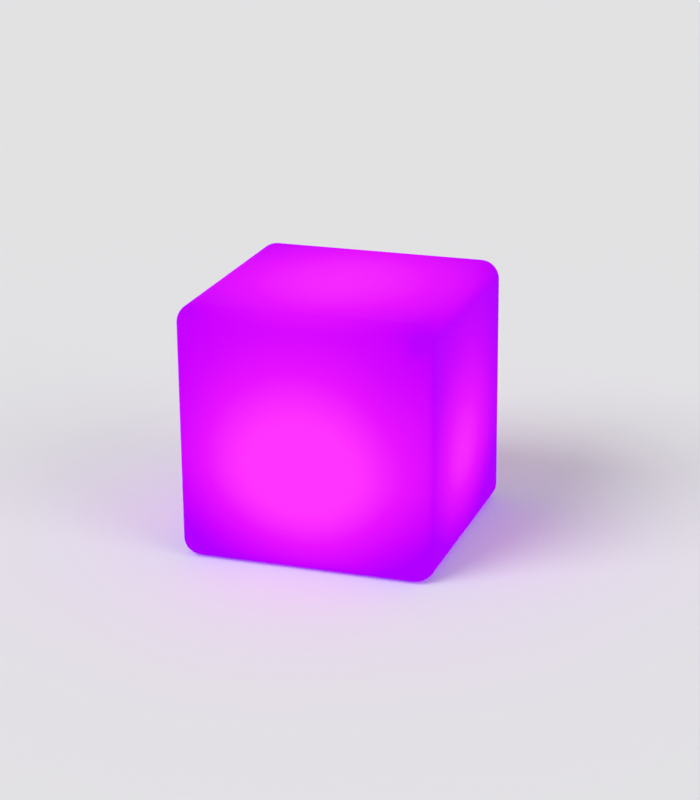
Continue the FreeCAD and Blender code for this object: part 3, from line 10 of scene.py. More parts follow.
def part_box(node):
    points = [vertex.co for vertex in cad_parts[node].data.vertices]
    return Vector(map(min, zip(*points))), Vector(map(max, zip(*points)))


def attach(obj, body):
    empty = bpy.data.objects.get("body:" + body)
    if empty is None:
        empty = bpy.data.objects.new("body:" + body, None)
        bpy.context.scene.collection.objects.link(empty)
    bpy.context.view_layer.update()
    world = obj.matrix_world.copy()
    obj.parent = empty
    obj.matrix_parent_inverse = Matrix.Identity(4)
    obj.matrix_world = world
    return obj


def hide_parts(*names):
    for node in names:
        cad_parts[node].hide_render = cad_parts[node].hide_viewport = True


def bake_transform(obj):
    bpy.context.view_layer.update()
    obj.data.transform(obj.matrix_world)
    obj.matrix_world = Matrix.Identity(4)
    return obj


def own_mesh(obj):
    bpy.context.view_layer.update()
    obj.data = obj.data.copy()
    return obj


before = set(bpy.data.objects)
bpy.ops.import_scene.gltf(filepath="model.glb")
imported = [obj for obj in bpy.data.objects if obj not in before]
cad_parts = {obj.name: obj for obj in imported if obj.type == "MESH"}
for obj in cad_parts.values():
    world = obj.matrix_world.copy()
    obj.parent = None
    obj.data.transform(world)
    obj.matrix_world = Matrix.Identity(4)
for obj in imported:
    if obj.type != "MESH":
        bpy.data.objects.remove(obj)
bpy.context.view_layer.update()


# ---------------------------------------------------------------------------------------------------------
# The studio: a plain pale floor, a hair below the cube's flat underside, two wide soft lamps far off, and
# an even pale surround. The camera stands a little above the cube and to the right of its front, with a
# long lens, as in the photograph.
# ---------------------------------------------------------------------------------------------------------
class Signal:
    """A node's output in one material, on which ordinary sums add the Math nodes that work them out."""

    def __init__(self, finish, socket):
        self.finish = finish
        self.socket = socket

    def math(self, operation, *values):
        return self.finish.node("ShaderNodeMath", {"operation": operation}, dict(enumerate(values)))

    def __add__(self, other):
        return self.math("ADD", self, other)

    def __sub__(self, other):
        return self.math("SUBTRACT", self, other)

    def __rsub__(self, other):
        return self.math("SUBTRACT", other, self)

    def __mul__(self, other):
        return self.math("MULTIPLY", self, other)

    def __truediv__(self, other):
        return self.math("DIVIDE", self, other)

    def __pow__(self, power):
        return self.math("POWER", self, power)

    def __abs__(self):
        return self.math("ABSOLUTE", self)

    def at_least(self, low):
        return self.math("MAXIMUM", self, low)

    def at_most(self, high):
        return self.math("MINIMUM", self, high)

    def exponential(self):
        return self.math("EXPONENT", self)

    def sine(self):
        return self.math("SINE", self)

    def above_zero(self, steepness):
        """1 where the value lies above zero and 0 where it lies below, with a steep slope between."""
        return (steepness * self).at_least(0).at_most(1)

    __radd__ = __add__
    __rmul__ = __mul__


class Shading:
    """The nodes of a material or of the world: its first shader, and the one method that adds any other."""

    def __init__(self, owner, shader):
        owner.use_nodes = True
        self.owner = owner
        self.tree = owner.node_tree
        self.shader = self.tree.nodes[shader]

    def node(self, kind, settings, sockets, output=0):
        made = self.tree.nodes.new(kind)
        for name, value in settings.items():
            if name == "stops":
                set_stops(made.color_ramp, value)
            else:
                setattr(made, name, value)
        for name, value in sockets.items():
            self.join(made.inputs[name], value)
        return Signal(self, made.outputs[output])

    def join(self, socket, value):
        if isinstance(value, Signal):
            self.tree.links.new(value.socket, socket)
        else:
            socket.default_value = value

    def feed(self, sockets):
        """Sets or links the shader's own sockets."""
        for name, value in sockets.items():
            self.join(self.shader.inputs[name], value)


def opaque(colour):
    return colour if isinstance(colour, Signal) else (*colour, 1.0)


def set_stops(ramp, stops):
    while len(ramp.elements) < len(stops):
        ramp.elements.new(1.0)
    for element, (position, colour) in zip(ramp.elements, stops):
        element.position = position
        element.color = opaque(colour)


def wear(item, *finishes):
    item.data.materials.clear()
    for finish in finishes:
        item.data.materials.append(finish.owner)


def add_item(name, data):
    item = bpy.data.objects.new(name, data)
    bpy.context.scene.collection.objects.link(item)
    return item


floor_mesh = bpy.data.meshes.new("floor")
floor_reach, floor_level = 30.0, -0.0002
floor_turns = ((-1, -1), (1, -1), (1, 1), (-1, 1))
floor_corners = [(floor_reach * x, floor_reach * y, floor_level) for x, y in floor_turns]
floor_mesh.from_pydata(floor_corners, [], [(0, 1, 2, 3)])
floor = add_item("floor", floor_mesh)
floor_paint = Shading(bpy.data.materials.new("floor_paint"), "Principled BSDF")
floor_paint.feed({"Base Color": (0.78, 0.78, 0.79, 1), "Roughness": 0.9, "Specular IOR Level": 0.1})
wear(floor, floor_paint)

cube_middle = Vector((0, 0, 0.2))
lamp_softness = math.radians(35)
for name, spot, power in (("key", (-2.6, -3.4, 4.2), 1.7), ("fill", (4.2, -1.6, 3.0), 0.6)):
    lamp = bpy.data.lights.new(name, "SUN")
    lamp.angle = lamp_softness
    lamp.energy = power
    stand = add_item(name, lamp)
    stand.location = spot
    stand.rotation_mode = "QUATERNION"
    stand.rotation_quaternion = (cube_middle - Vector(spot)).to_track_quat("-Z", "Y")

surround = Shading(bpy.data.worlds.new("surround"), "Background")
surround.feed({"Color": (1, 1, 1, 1), "Strength": 0.5})
pale_air = surround.node("ShaderNodeBackground", {}, {"Color": (0.86, 0.86, 0.87, 1), "Strength": 1.0})
looking = surround.node("ShaderNodeLightPath", {}, {}, "Is Camera Ray")
mirrored = surround.node("ShaderNodeLightPath", {}, {}, "Is Glossy Ray")
lighting = Signal(surround, surround.shader.outputs[0])
seen_air = {0: looking.at_least(mirrored), 1: lighting, 2: pale_air}
either_air = surround.node("ShaderNodeMixShader", {}, seen_air)
surround.join(surround.tree.nodes["World Output"].inputs["Surface"], either_air)
bpy.context.scene.world = surround.owner
bpy.context.scene.view_settings.view_transform = "Standard"

camera = add_item("camera", bpy.data.cameras.new("camera"))
camera_spot = Vector((1.0833, -3.1276, 1.3785))
camera_right = Vector((0.94695, 0.32124, -0.00937))
camera_up = Vector((-0.09878, 0.31867, 0.94270))
camera_back = camera_right.cross(camera_up)
camera_turn = Matrix((camera_right, camera_up, camera_back)).transposed().to_4x4()
camera.matrix_world = Matrix.Translation(camera_spot) @ camera_turn
camera.data.lens = 101.9
bpy.context.scene.camera = camera


# ---------------------------------------------------------------------------------------------------------
# The cube: one seamless shell of translucent polyethylene, moulded by turning the hot mould, so it has
# soft corners, a satin skin and walls of slightly uneven thickness. Its glow is painted light: emission
# painted over the shell stands in for the magenta light of the LEDs inside. It is painted brightest low
# on its sides, and painted darker, deep violet, at its edges and corners, where the wall is thickest.
# ---------------------------------------------------------------------------------------------------------
class Finish(Shading):
    """A material, with the patterns and colours that its surface can take."""

    def __init__(self, name):
        super().__init__(bpy.data.materials.new(name), "Principled BSDF")

    def place(self):
        return self.node("ShaderNodeTexCoord", {}, {}, "Object")

    def facing(self):
        return self.node("ShaderNodeTexCoord", {}, {}, "Normal")

    def split(self, vector):
        node = self.node("ShaderNodeSeparateXYZ", {}, {"Vector": vector}).socket.node
        return [Signal(self, output) for output in node.outputs]

    def stretched(self, x, y, z):
        """The object's own coordinates, closer together along some axes than along others."""
        return self.node("ShaderNodeVectorMath", {"operation": "MULTIPLY"}, {0: self.place(), 1: (x, y, z)})

    def noise(self, scale, detail=2.0, vector=None):
        sockets = {"Vector": vector or self.place(), "Scale": scale, "Detail": detail}
        return self.node("ShaderNodeTexNoise", {}, sockets)

    def ramp(self, signal, stops):
        return self.node("ShaderNodeValToRGB", {"stops": stops}, {"Fac": signal})

    def mix(self, share, first, second):
        colours = {6: opaque(first), 7: opaque(second)}
        return self.node("ShaderNodeMix", {"data_type": "RGBA"}, {0: share, **colours}, 2)

    def fed(self, name):
        """What feeds a socket of the shader now."""
        return Signal(self, self.shader.inputs[name].links[0].from_socket)

    def bump(self, height, depth):
        """Relief, laid over any that the finish has already."""
        sockets = {"Height": height, "Distance": depth, "Strength": 1.0}
        if self.shader.inputs["Normal"].is_linked:
            sockets["Normal"] = self.fed("Normal")
        self.feed({"Normal": self.node("ShaderNodeBump", {}, sockets)})

    def on(self, *names):
        """Gives this finish to CAD nodes as they are."""
        for name in names:
            wear(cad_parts[name], self)


shell_glow = Finish("frosted_polyethylene")
x, y, z = shell_glow.split(shell_glow.place())
toward_x, toward_y, toward_z = shell_glow.split(shell_glow.facing())


def side_glow(across, level, strength, width, sharpness, height, reach_up, reach_down, fall, base, rise):
    """Painted glow of a side: a soft spot at one height, on a ground that brightens a little upwards."""
    above = (level - height).at_least(0) / reach_up
    below = (height - level).at_least(0) / reach_down
    spread = (abs(across) / width) ** sharpness + (above + below) ** fall
    return base + rise * level + strength * (-1 * spread).exponential()


# Painted light: the glow of each face is painted on, standing in for the light of the LEDs inside.
front_glow = side_glow(
    x,
    z,
    strength=1.665,
    width=0.217,
    sharpness=2.05,
    height=0.144,
    reach_up=0.190,
    reach_down=0.194,
    fall=1.83,
    base=-0.745,
    rise=1.95,
)
# Painted light: the front's glow is painted brighter towards its right edge, most at mid height.
near_edge = 2.1 * (x - 0.125).at_least(0)
at_mid_height = 1 - 35 * (z - 0.19) ** 2
front_glow = front_glow + near_edge * at_mid_height
toward_front = 0.02
flank_glow = side_glow(
    y + toward_front,
    z,
    strength=1.133,
    width=0.186,
    sharpness=2.04,
    height=0.142,
    reach_up=0.170,
    reach_down=0.138,
    fall=1.90,
    base=-0.497,
    rise=1.22,
)
top_glow = 0.80 - 7.3 * abs(x) ** 1.78 - 9.0 * y ** 2
base_glow = 0.30 - 6.0 * (x ** 2 + y ** 2)

sideways = toward_x ** 2 + toward_y ** 2
up_share = 1 - (1 - toward_z.at_least(0) ** 2) ** 3
down_share = (-1 * toward_z).at_least(0) ** 2
side_share = 1 - up_share - down_share
flank_share = side_share * (toward_x ** 2 / sideways.at_least(0.001)) ** 5
front_share = side_share - flank_share
glow = front_share * front_glow + flank_share * flank_glow + up_share * top_glow + down_share * base_glow

# Painted shade: the glow is painted a little darker in a small spot near the top right corner of the front.
dim_spot_x, dim_spot_y, dim_spot_z = 0.180, -0.196, 0.372
from_dim_spot = (x - dim_spot_x) ** 2 + (y - dim_spot_y) ** 2 + (z - dim_spot_z) ** 2
glow = glow - 0.09 * (-3500 * from_dim_spot).exponential()
# Painted light: the painted glow is made a little uneven at random.
painted_glow_mottle = shell_glow.noise(16, 3)
glow = glow + 0.03 * (painted_glow_mottle - 0.5)
glow_stops = [
    (0.00, (0.400, 0.000, 1.0)),
    (0.25, (0.560, 0.001, 1.0)),
    (0.60, (0.760, 0.006, 1.0)),
    (1.00, (0.990, 0.034, 1.0)),
]
shell_glow.feed({
    # Painted shade: a dark violet base colour in place of the real shell's white, so the lamps hardly lighten
    # it.
    "Base Color": (0.045, 0.0, 0.09, 1),
    "Emission Color": shell_glow.ramp(glow, glow_stops),
    "Emission Strength": 1.0,
    "Roughness": 0.46 + 0.10 * (shell_glow.noise(60, 3) - 0.5),
    "Specular IOR Level": 0.0005,
})
orange_peel = shell_glow.noise(420, 3)
fine_grain = shell_glow.noise(2600, 2)
shell_glow.bump(0.7 * orange_peel + 0.3 * fine_grain, 0.00012)
shell_glow.on("shell")


# ---------------------------------------------------------------------------------------------------------
# The housing of the light module: a cup and flange moulded in white ABS with a spark-eroded grain. It is
# screwed up into brass inserts in the cube's underside, over a sheet rubber gasket.
# ---------------------------------------------------------------------------------------------------------
def grained(name, colour, roughness, grain, depth, shade=0.06):
    """A finish with an even fine grain, whose colour and gloss drift a little over the surface."""
    finish = Finish(name)
    drift = finish.noise(grain / 14, 3)
    darker = [(1 - shade) * channel for channel in colour]
    finish.feed({
        "Base Color": finish.mix(drift, darker, colour),
        "Roughness": roughness + 0.14 * (drift - 0.5),
    })
    finish.bump(finish.noise(grain, 2), depth)
    return finish


housing_white = grained("housing_plastic", (0.80, 0.80, 0.78), 0.48, 2400, 0.00006)
housing_white.on("base_housing")


def lay_skin(mesh, name):
    """Turns a bmesh into an item of its own, smooth but for its sharp edges."""
    bmesh.ops.recalc_face_normals(mesh, faces=mesh.faces)
    data = bpy.data.meshes.new(name)
    mesh.to_mesh(data)
    mesh.free()
    data.shade_smooth()
    data.set_sharp_from_angle(angle=math.radians(42))
    return add_item(name, data)


def lathe(mesh, centre, section, steps=56):
    """Turns a closed section of radius, height pairs about an upright axis, into the bmesh."""
    on_axis = 1e-7
    rings = []
    for radius, height in section:
        if radius < on_axis:
            ring = [mesh.verts.new((*centre, height))] * steps
        else:
            ring = []
            for step in range(steps):
                angle = 2 * math.pi * step / steps
                spot = (centre[0] + radius * math.cos(angle), centre[1] + radius * math.sin(angle), height)
                ring.append(mesh.verts.new(spot))
        rings.append(ring)
    if section[0][0] > on_axis:
        rings.append(rings[0])
    for lower, upper in zip(rings, rings[1:]):
        for step in range(steps):
            following = (step + 1) % steps
            corners = dict.fromkeys((lower[step], lower[following], upper[following], upper[step]))
            if len(corners) > 2:
                mesh.faces.new(list(corners))


def arc(centre, radius, start, end, steps):
    """Points of a section on an arc, its angles in degrees from the outward direction."""
    turned = [math.radians(start + (end - start) * step / steps) for step in range(steps + 1)]
    return [(centre[0] + radius * math.cos(a), centre[1] + radius * math.sin(a)) for a in turned]


def dress(item, finish, body, node=None):
    """An item of the scene that wears a finish, moves with a body and may stand for a CAD node."""
    wear(item, finish)
    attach(item, body)
    if node:
        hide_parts(node)


plate_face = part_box("base_housing")[0].z
bead_root, bead_middle = plate_face + 0.0004, plate_face + 0.00005
bead_sizes = ((0.0593, 0.0005), (0.0611, 0.0005), (0.0723, 0.0004))
bead_mesh = bmesh.new()
for radius, half_width in bead_sizes:
    bead = arc((radius, bead_middle), half_width, 0, -180, 10)
    lathe(bead_mesh, (0, 0), [*bead, (radius - half_width, bead_root), (radius + half_width, bead_root)], 144)
dress(lay_skin(bead_mesh, "plate_beads"), housing_white, "lamp")

sheet_rubber = grained("seal_rubber", (0.74, 0.74, 0.72), 0.72, 1500, 0.00008, 0.10)
sheet_rubber.on("module_gasket", "cover_gasket")


def drawn_metal(name, colour, roughness, along=(1, 1, 1), depth=0.00001):
    """Bare metal with the fine streaks of drawing or turning, closer together across their run."""
    finish = Finish(name)
    streaks = finish.noise(900, 3, finish.stretched(*along))
    stain = finish.noise(140, 3)
    worn = [0.86 * channel for channel in colour]
    finish.feed({
        "Base Color": finish.mix(stain, worn, colour),
        "Metallic": 1.0,
        "Roughness": roughness + 0.16 * (streaks - 0.5),
    })
    finish.bump(streaks, depth)
    return finish


stainless = drawn_metal("stainless_steel", (0.62, 0.61, 0.60), 0.30, (1, 1, 0.1))
stainless.on("module_screws", "cover_screws", "light_board_screws", "tether_screw")
stainless.on("strap_screws", "control_board_screws")

brass = Finish("insert_brass")
x, y, z = brass.split(brass.place())
knurl = abs((2600 * (x + y) + 3400 * z).sine())
brass.feed({
    "Base Color": brass.mix(brass.noise(200, 3), (0.60, 0.43, 0.15), (0.78, 0.60, 0.27)),
    "Metallic": 1.0,
    "Roughness": 0.28 + 0.14 * brass.noise(900, 2),
})
brass.bump(knurl, 0.00008)
brass.on("threaded_inserts")


# ---------------------------------------------------------------------------------------------------------
# The cover over the lights: a dome of frosted polycarbonate, screwed down on a rubber gasket. A painted
# glow, emission standing in for the magenta light of the LEDs under it, is painted brightest at its crown.
# ---------------------------------------------------------------------------------------------------------
dome_glow = Finish("dome_plastic")
x, y, z = dome_glow.split(dome_glow.place())
# Painted light: the dome's glow, painted brightest at its crown and fading outwards.
crown = 1 - 420 * (x ** 2 + y ** 2)
dome_stops = [(0.0, (0.35, 0.0, 0.75)), (0.5, (0.85, 0.03, 1.0)), (1.0, (1.0, 0.30, 1.0))]
dome_glow.feed({
    "Base Color": dome_glow.mix(dome_glow.noise(90, 3), (0.30, 0.22, 0.34), (0.36, 0.27, 0.40)),
    "Emission Color": dome_glow.ramp(crown + 0.04 * (dome_glow.noise(300, 2) - 0.5), dome_stops),
    "Emission Strength": 1.0,
    "Roughness": 0.52 + 0.10 * (dome_glow.noise(700, 2) - 0.5),
})
dome_glow.bump(dome_glow.noise(3200, 2), 0.00004)
dome_glow.on("light_cover")


# ---------------------------------------------------------------------------------------------------------
# The carrier and the light board: a grey-white moulded disc, and on it a round aluminium-core board with
# white solder mask, printed copper under the mask, and two rings of colour-changing LEDs.
# ---------------------------------------------------------------------------------------------------------
carrier_grey = grained("carrier_plastic", (0.66, 0.66, 0.66), 0.50, 2000, 0.00006)
carrier_grey.on("light_carrier")


def solder_mask(name, mask, over_copper, roughness):
    """A lacquered circuit board: where copper lies under the mask it shows lighter and stands proud."""
    finish = Finish(name)
    cells = finish.node(
        "ShaderNodeTexVoronoi",
        {"distance": "MANHATTAN", "feature": "F1"},
        {"Vector": finish.place(), "Scale": 260.0, "Randomness": 0.75},
    )
    tracks = 1 - (12 * abs(cells - 0.45)).at_most(1)
    finish.feed({
        "Base Color": finish.mix(tracks, mask, over_copper),
        "Roughness": roughness + 0.10 * (finish.noise(500, 2) - 0.5),
    })
    finish.bump(tracks, 0.00004)
    return finish


white_mask = solder_mask("white_board", (0.80, 0.80, 0.78), (0.86, 0.86, 0.83), 0.36)
white_mask.on("light_board")

led_white = Finish("led_package")
x, y, z = led_white.split(led_white.place())
led_cup_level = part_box("led_chips")[1].z - 0.00035
in_cup = (led_cup_level - z).above_zero(20000)
facing_up = led_white.split(led_white.facing())[2].at_least(0)
lit = in_cup * facing_up
led_white.feed({
    "Base Color": led_white.mix(lit, (0.84, 0.83, 0.78), (0.90, 0.62, 0.85)),
    "Emission Color": led_white.mix(lit, (0.10, 0.0, 0.12), (1.0, 0.25, 1.0)),
    "Emission Strength": 1.0,
    "Roughness": 0.30 + 0.12 * led_white.noise(900, 2),
})
led_white.bump(led_white.noise(2600, 2), 0.00002)
led_white.on("led_chips")

receiver_resin = grained("receiver_black", (0.020, 0.014, 0.020), 0.16, 900, 0.00001, 0.2)
receiver_resin.on("remote_receiver")


# ---------------------------------------------------------------------------------------------------------
# The battery: two steel cells side by side in a blue shrink sleeve, with welded nickel strips at their
# ends, held up against a foam pad by a moulded strap and two screws.
# ---------------------------------------------------------------------------------------------------------
drawn_metal("cell_steel", (0.60, 0.60, 0.59), 0.26, (0.08, 1, 1)).on("battery_cells")
drawn_metal("nickel", (0.68, 0.66, 0.62), 0.34, (1, 0.1, 1)).on("battery_tabs")

shrink_sleeve = Finish("wrap_plastic")
wrinkles = shrink_sleeve.noise(260, 4, shrink_sleeve.stretched(0.25, 1, 1))
shrink_sleeve.feed({
    "Base Color": shrink_sleeve.mix(shrink_sleeve.noise(60, 3), (0.010, 0.085, 0.32), (0.014, 0.115, 0.42)),
    "Roughness": 0.22 + 0.16 * wrinkles,
})
shrink_sleeve.bump(wrinkles, 0.00012)
shrink_sleeve.on("battery_wrap")


def swollen_pad(name, low, high):
    """A soft slab: its faces are crowned and its sides drawn in, flat only where it is pressed."""
    rows, columns = 14, 30
    shoulder = 0.02
    mesh = bmesh.new()
    middle, half = (low + high) / 2, (high - low) / 2
    skins = []
    for side in (-1, 1):
        skin = []
        for row in range(rows + 1):
            line = []
            for column in range(columns + 1):
                u, v = 2 * column / columns - 1, 2 * row / rows - 1
                rounding = (1 - abs(u) ** 10) * (1 - abs(v) ** 8)
                thickness = half.z * (0.35 + 0.65 * max(rounding, 0) ** 0.4)
                drawn_in = 1 - shoulder * (u * u * v * v)
                line.append(mesh.verts.new((
                    middle.x + half.x * u * drawn_in,
                    middle.y + half.y * v * drawn_in,
                    middle.z + side * thickness,
                )))
            skin.append(line)
        skins.append(skin)
    for skin in skins:
        for lower, upper in zip(skin, skin[1:]):
            for first, second, third, fourth in zip(lower, lower[1:], upper[1:], upper):
                mesh.faces.new((first, second, third, fourth))
    rims = []
    for skin in skins:
        right = [line[-1] for line in skin[1:]]
        left = [line[0] for line in skin[-2:0:-1]]
        rims.append(skin[0] + right + skin[-1][-2::-1] + left)
    count = len(rims[0])
    for index in range(count):
        following = (index + 1) % count
        mesh.faces.new((rims[0][index], rims[0][following], rims[1][following], rims[1][index]))
    return lay_skin(mesh, name)


closed_foam = Finish("foam")
pore_size = {"Vector": closed_foam.place(), "Scale": 1800.0}
pores = closed_foam.node("ShaderNodeTexVoronoi", {"feature": "DISTANCE_TO_EDGE"}, pore_size)
closed_foam.feed({
    "Base Color": closed_foam.mix(pores, (0.012, 0.012, 0.012), (0.035, 0.035, 0.036)),
    "Roughness": 0.85 + 0.1 * (closed_foam.noise(400, 2) - 0.5),
})
closed_foam.bump(pores, 0.00015)
foam_pad = swollen_pad("foam_pad", *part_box("battery_pad"))
dress(foam_pad, closed_foam, "lamp", "battery_pad")

carrier_grey.on("battery_strap")


# ---------------------------------------------------------------------------------------------------------
# The control board: glass-epoxy with green solder mask, on four moulded posts. On it, three moulded chips
# stand on rows of tinned legs, each leg bent down and out to a foot that is soldered to the board.
# ---------------------------------------------------------------------------------------------------------
green_mask = solder_mask("green_board", (0.012, 0.10, 0.035), (0.030, 0.19, 0.065), 0.28)
green_mask.on("control_board")
board_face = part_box("control_board")[1].z
millimetre = 0.001


def rounded_bar(mesh, low, high, rounding, segments=4):
    """A block with all its edges rounded, into the bmesh."""
    made = bmesh.ops.create_cube(mesh, size=1.0)
    for vert in made["verts"]:
        vert.co = Vector([(low[i] + high[i]) / 2 + vert.co[i] * (high[i] - low[i]) for i in range(3)])
    edges = list({edge for vert in made["verts"] for edge in vert.link_edges})
    bmesh.ops.bevel(mesh, geom=edges, offset=rounding, segments=segments, profile=0.5, affect="EDGES")


def prism(mesh, outline, low_x, high_x):
    """A flat outline in Y and Z, given a width along X, into the bmesh."""
    ends = [[mesh.verts.new((x, *corner)) for corner in outline] for x in (low_x, high_x)]
    mesh.faces.new(ends[0])
    mesh.faces.new(list(reversed(ends[1])))
    for index in range(len(outline)):
        following = (index + 1) % len(outline)
        mesh.faces.new((ends[0][index], ends[0][following], ends[1][following], ends[1][index]))


chip_places = [(-12, -2, 24, 28), (-1, 4, 24, 28), (4.75, 11.25, 23, 29)]
chip_foot, chip_top, chip_rounding = 0.1, 1.8, 0.22
leg_pitch, leg_width, end_margins = 1.27, 0.42, 0.4
leg_line = [(0, 1.0), (0.38, 1.0), (0.62, 0.16), (1.1, 0.16), (1.1, 0), (0.5, 0), (0.26, 0.84), (0, 0.84)]
chip_mesh, leg_mesh = bmesh.new(), bmesh.new()
for low_x, high_x, low_y, high_y in chip_places:
    low = (low_x * millimetre, low_y * millimetre, board_face + chip_foot * millimetre)
    high = (high_x * millimetre, high_y * millimetre, board_face + chip_top * millimetre)
    rounded_bar(chip_mesh, low, high, chip_rounding * millimetre, 2)
    legs = int((high_x - low_x - end_margins) / leg_pitch)
    for index in range(legs):
        leg_x = (low_x + high_x) / 2 + (index - (legs - 1) / 2) * leg_pitch
        low_side, high_side = (leg_x - leg_width / 2) * millimetre, (leg_x + leg_width / 2) * millimetre
        for side_y, outward in ((low_y, -1), (high_y, 1)):
            outline = []
            for out, up in leg_line:
                outline.append(((side_y + outward * out) * millimetre, board_face + up * millimetre))
            prism(leg_mesh, outline, low_side, high_side)
chip_black = grained("chip_black", (0.022, 0.022, 0.023), 0.55, 3600, 0.00003, 0.25)
dress(lay_skin(chip_mesh, "chip_bodies"), chip_black, "lamp", "control_chips")
tinned = drawn_metal("tinned_brass", (0.74, 0.71, 0.60), 0.32)
dress(lay_skin(leg_mesh, "chip_legs"), tinned, "lamp", "control_chips")


# ---------------------------------------------------------------------------------------------------------
# The two capacitors: drawn aluminium cans, crimped near the foot over a rubber bung, with a dark mark on
# the top at the negative side. Each stands in a square black base that is soldered to the board.
# ---------------------------------------------------------------------------------------------------------
can_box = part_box("capacitors")
can_width = can_box[1].x - can_box[0].x
can_x = can_box[0].x + can_width / 2
can_radius = can_width / 2 - 0.0001
can_top, can_foot = can_box[1].z, can_box[0].z + 0.001
can_rounding, lid_radius, lid_depth = 0.0005, can_radius - 0.0008, 0.0001
crimp_line = [(-0.25, 0), (-0.05, 0.12), (0, 0.35), (-0.04, 0.6), (-0.26, 0.85), (-0.3, 1.0)]
crimp_line += [(-0.26, 1.15), (-0.04, 1.4), (0, 1.65)]
can_mesh, can_base_mesh = bmesh.new(), bmesh.new()
for can_y in (can_box[0].y + can_width / 2, can_box[1].y - can_width / 2):
    crimp = [(can_radius + out * millimetre, can_foot + up * millimetre) for out, up in crimp_line]
    shoulder = arc((can_radius - can_rounding, can_top - can_rounding), can_rounding, 0, 90, 6)
    lid = [(lid_radius, can_top - lid_depth), (0, can_top - lid_depth)]
    lathe(can_mesh, (can_x, can_y), [(0, can_foot), *crimp, *shoulder, *lid])
    low = (can_box[0].x, can_y - can_width / 2, can_box[0].z)
    high = (can_box[1].x, can_y + can_width / 2, can_foot + 0.0002)
    rounded_bar(can_base_mesh, low, high, 0.0003)
aluminium = drawn_metal("capacitor_can", (0.60, 0.61, 0.63), 0.24, (1, 1, 0.1))
x, y, z = aluminium.split(aluminium.place())
mark_edge, mark_sharpness = can_x - 0.0012, 40000
on_one_side = (mark_edge - x).above_zero(mark_sharpness)
on_the_top = (z - can_top + 0.0003).above_zero(mark_sharpness)
marked = on_one_side * on_the_top
aluminium.feed({
    "Base Color": aluminium.mix(marked, aluminium.fed("Base Color"), (0.02, 0.02, 0.02)),
    "Metallic": 1 - marked,
})
dress(lay_skin(can_mesh, "capacitor_cans"), aluminium, "lamp", "capacitors")
dress(lay_skin(can_base_mesh, "capacitor_bases"), chip_black, "lamp", "capacitors")


# ---------------------------------------------------------------------------------------------------------
# The charging coil: enamelled copper wire, wound in one layer on a drum of pressed black ferrite, which
# stands on the control board on its lower cheek.
# ---------------------------------------------------------------------------------------------------------
def coil_points(centre, radius, bottom, top, turns, steps):
    """The centre line of a coil spring, whose end turns lie flat."""
    points = []
    for index in range(turns * steps + 1):
        share = index / (turns * steps)
        settled = share - 0.6 * math.sin(4 * math.pi * share) / (4 * math.pi)
        angle = 2 * math.pi * index / steps
        height = bottom + (top - bottom) * settled
        points.append((centre.x + radius * math.cos(angle), centre.y + radius * math.sin(angle), height))
    return points


def bent_rod(name, lines, radius, finishes):
    """Round rods or wires of one thickness, each along its own smooth line; as a curve with a bevel."""
    data = bpy.data.curves.new(name, "CURVE")
    data.dimensions = "3D"
    data.bevel_depth = radius
    data.bevel_resolution = 4
    data.resolution_u = 6
    data.use_fill_caps = True
    item = add_item(name, data)
    wear(item, *finishes)
    for index, line in enumerate(lines):
        spline = data.splines.new("NURBS")
        spline.points.add(len(line) - 1)
        for point, spot in zip(spline.points, line):
            point.co = (*spot, 1.0)
        spline.order_u = 3
        spline.use_endpoint_u = True
        spline.material_index = index % len(finishes)
    return item


coil_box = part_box("charging_coil")
coil_middle = (coil_box[0] + coil_box[1]) / 2
drum_radius = (coil_box[1].x - coil_box[0].x) / 2
drum_foot, drum_top = coil_box[0].z, coil_box[1].z
winding_radius, winding_half_wire = 0.0034, 0.00021
cheek, drum_chamfer = 0.0009, 0.0001
core_radius = winding_radius - 0.00015
dimple_depth = 0.0004
drum_mesh = bmesh.new()
lathe(
    drum_mesh,
    (coil_middle.x, coil_middle.y),
    [
        (0, drum_foot),
        (drum_radius - drum_chamfer, drum_foot),
        (drum_radius, drum_foot + drum_chamfer),
        (drum_radius, drum_foot + cheek),
        (core_radius, drum_foot + cheek),
        (core_radius, drum_top - cheek),
        (drum_radius, drum_top - cheek),
        (drum_radius, drum_top - drum_chamfer),
        (drum_radius - drum_chamfer, drum_top),
        (0.0012, drum_top),
        (0.0010, drum_top - dimple_depth),
        (0, drum_top - dimple_depth),
    ],
)
ferrite = grained("ferrite_black", (0.045, 0.043, 0.045), 0.68, 2200, 0.00006, 0.3)
dress(lay_skin(drum_mesh, "coil_drum"), ferrite, "lamp", "charging_coil")
enamelled_copper = drawn_metal("enamelled_copper", (0.56, 0.19, 0.07), 0.26)
winding_line = coil_points(
    coil_middle,
    winding_radius,
    bottom=drum_foot + cheek + winding_half_wire,
    top=drum_top - cheek - winding_half_wire,
    turns=7,
    steps=24,
)
winding = bent_rod("coil_winding", [winding_line], winding_half_wire, [enamelled_copper])
dress(winding, enamelled_copper, "lamp", "charging_coil")


# ---------------------------------------------------------------------------------------------------------
# The four wire connectors: white nylon plugs with a pair of locking ribs, pushed into shrouds that are
# soldered to the board. The wires' crimped ends go into square mouths that stand a little out of the plugs.
# ---------------------------------------------------------------------------------------------------------
half_pitch, half_depth, small_half_length, light_half_length = 1.25, 2.75, 3.5, 7
switch_plug_x, battery_plug_x, socket_plug_x = -10, 0, 10
small_plug_y, light_plug_y = 16, 36
connector_face = small_plug_y - half_depth
low_entry, high_entry = 18.0, 22.2
shroud_top, plug_foot, plug_top, mouth_reach = 20.6, 20, 23.6, 0.4
rib_foot, rib_top, rib_rounding = 19.5, 22.6, 0.15
light_mouths = [(index * 2 * half_pitch, light_plug_y, plug_top) for index in range(-2, 3)]
connector_places = [(0, light_plug_y, light_half_length, light_mouths)]
for plug_x, entry in ((switch_plug_x, high_entry), (battery_plug_x, low_entry), (socket_plug_x, high_entry)):
    mouths = [(plug_x + side * half_pitch, connector_face, entry) for side in (-1, 1)]
    connector_places.append((plug_x, small_plug_y, small_half_length, mouths))
connector_mesh = bmesh.new()
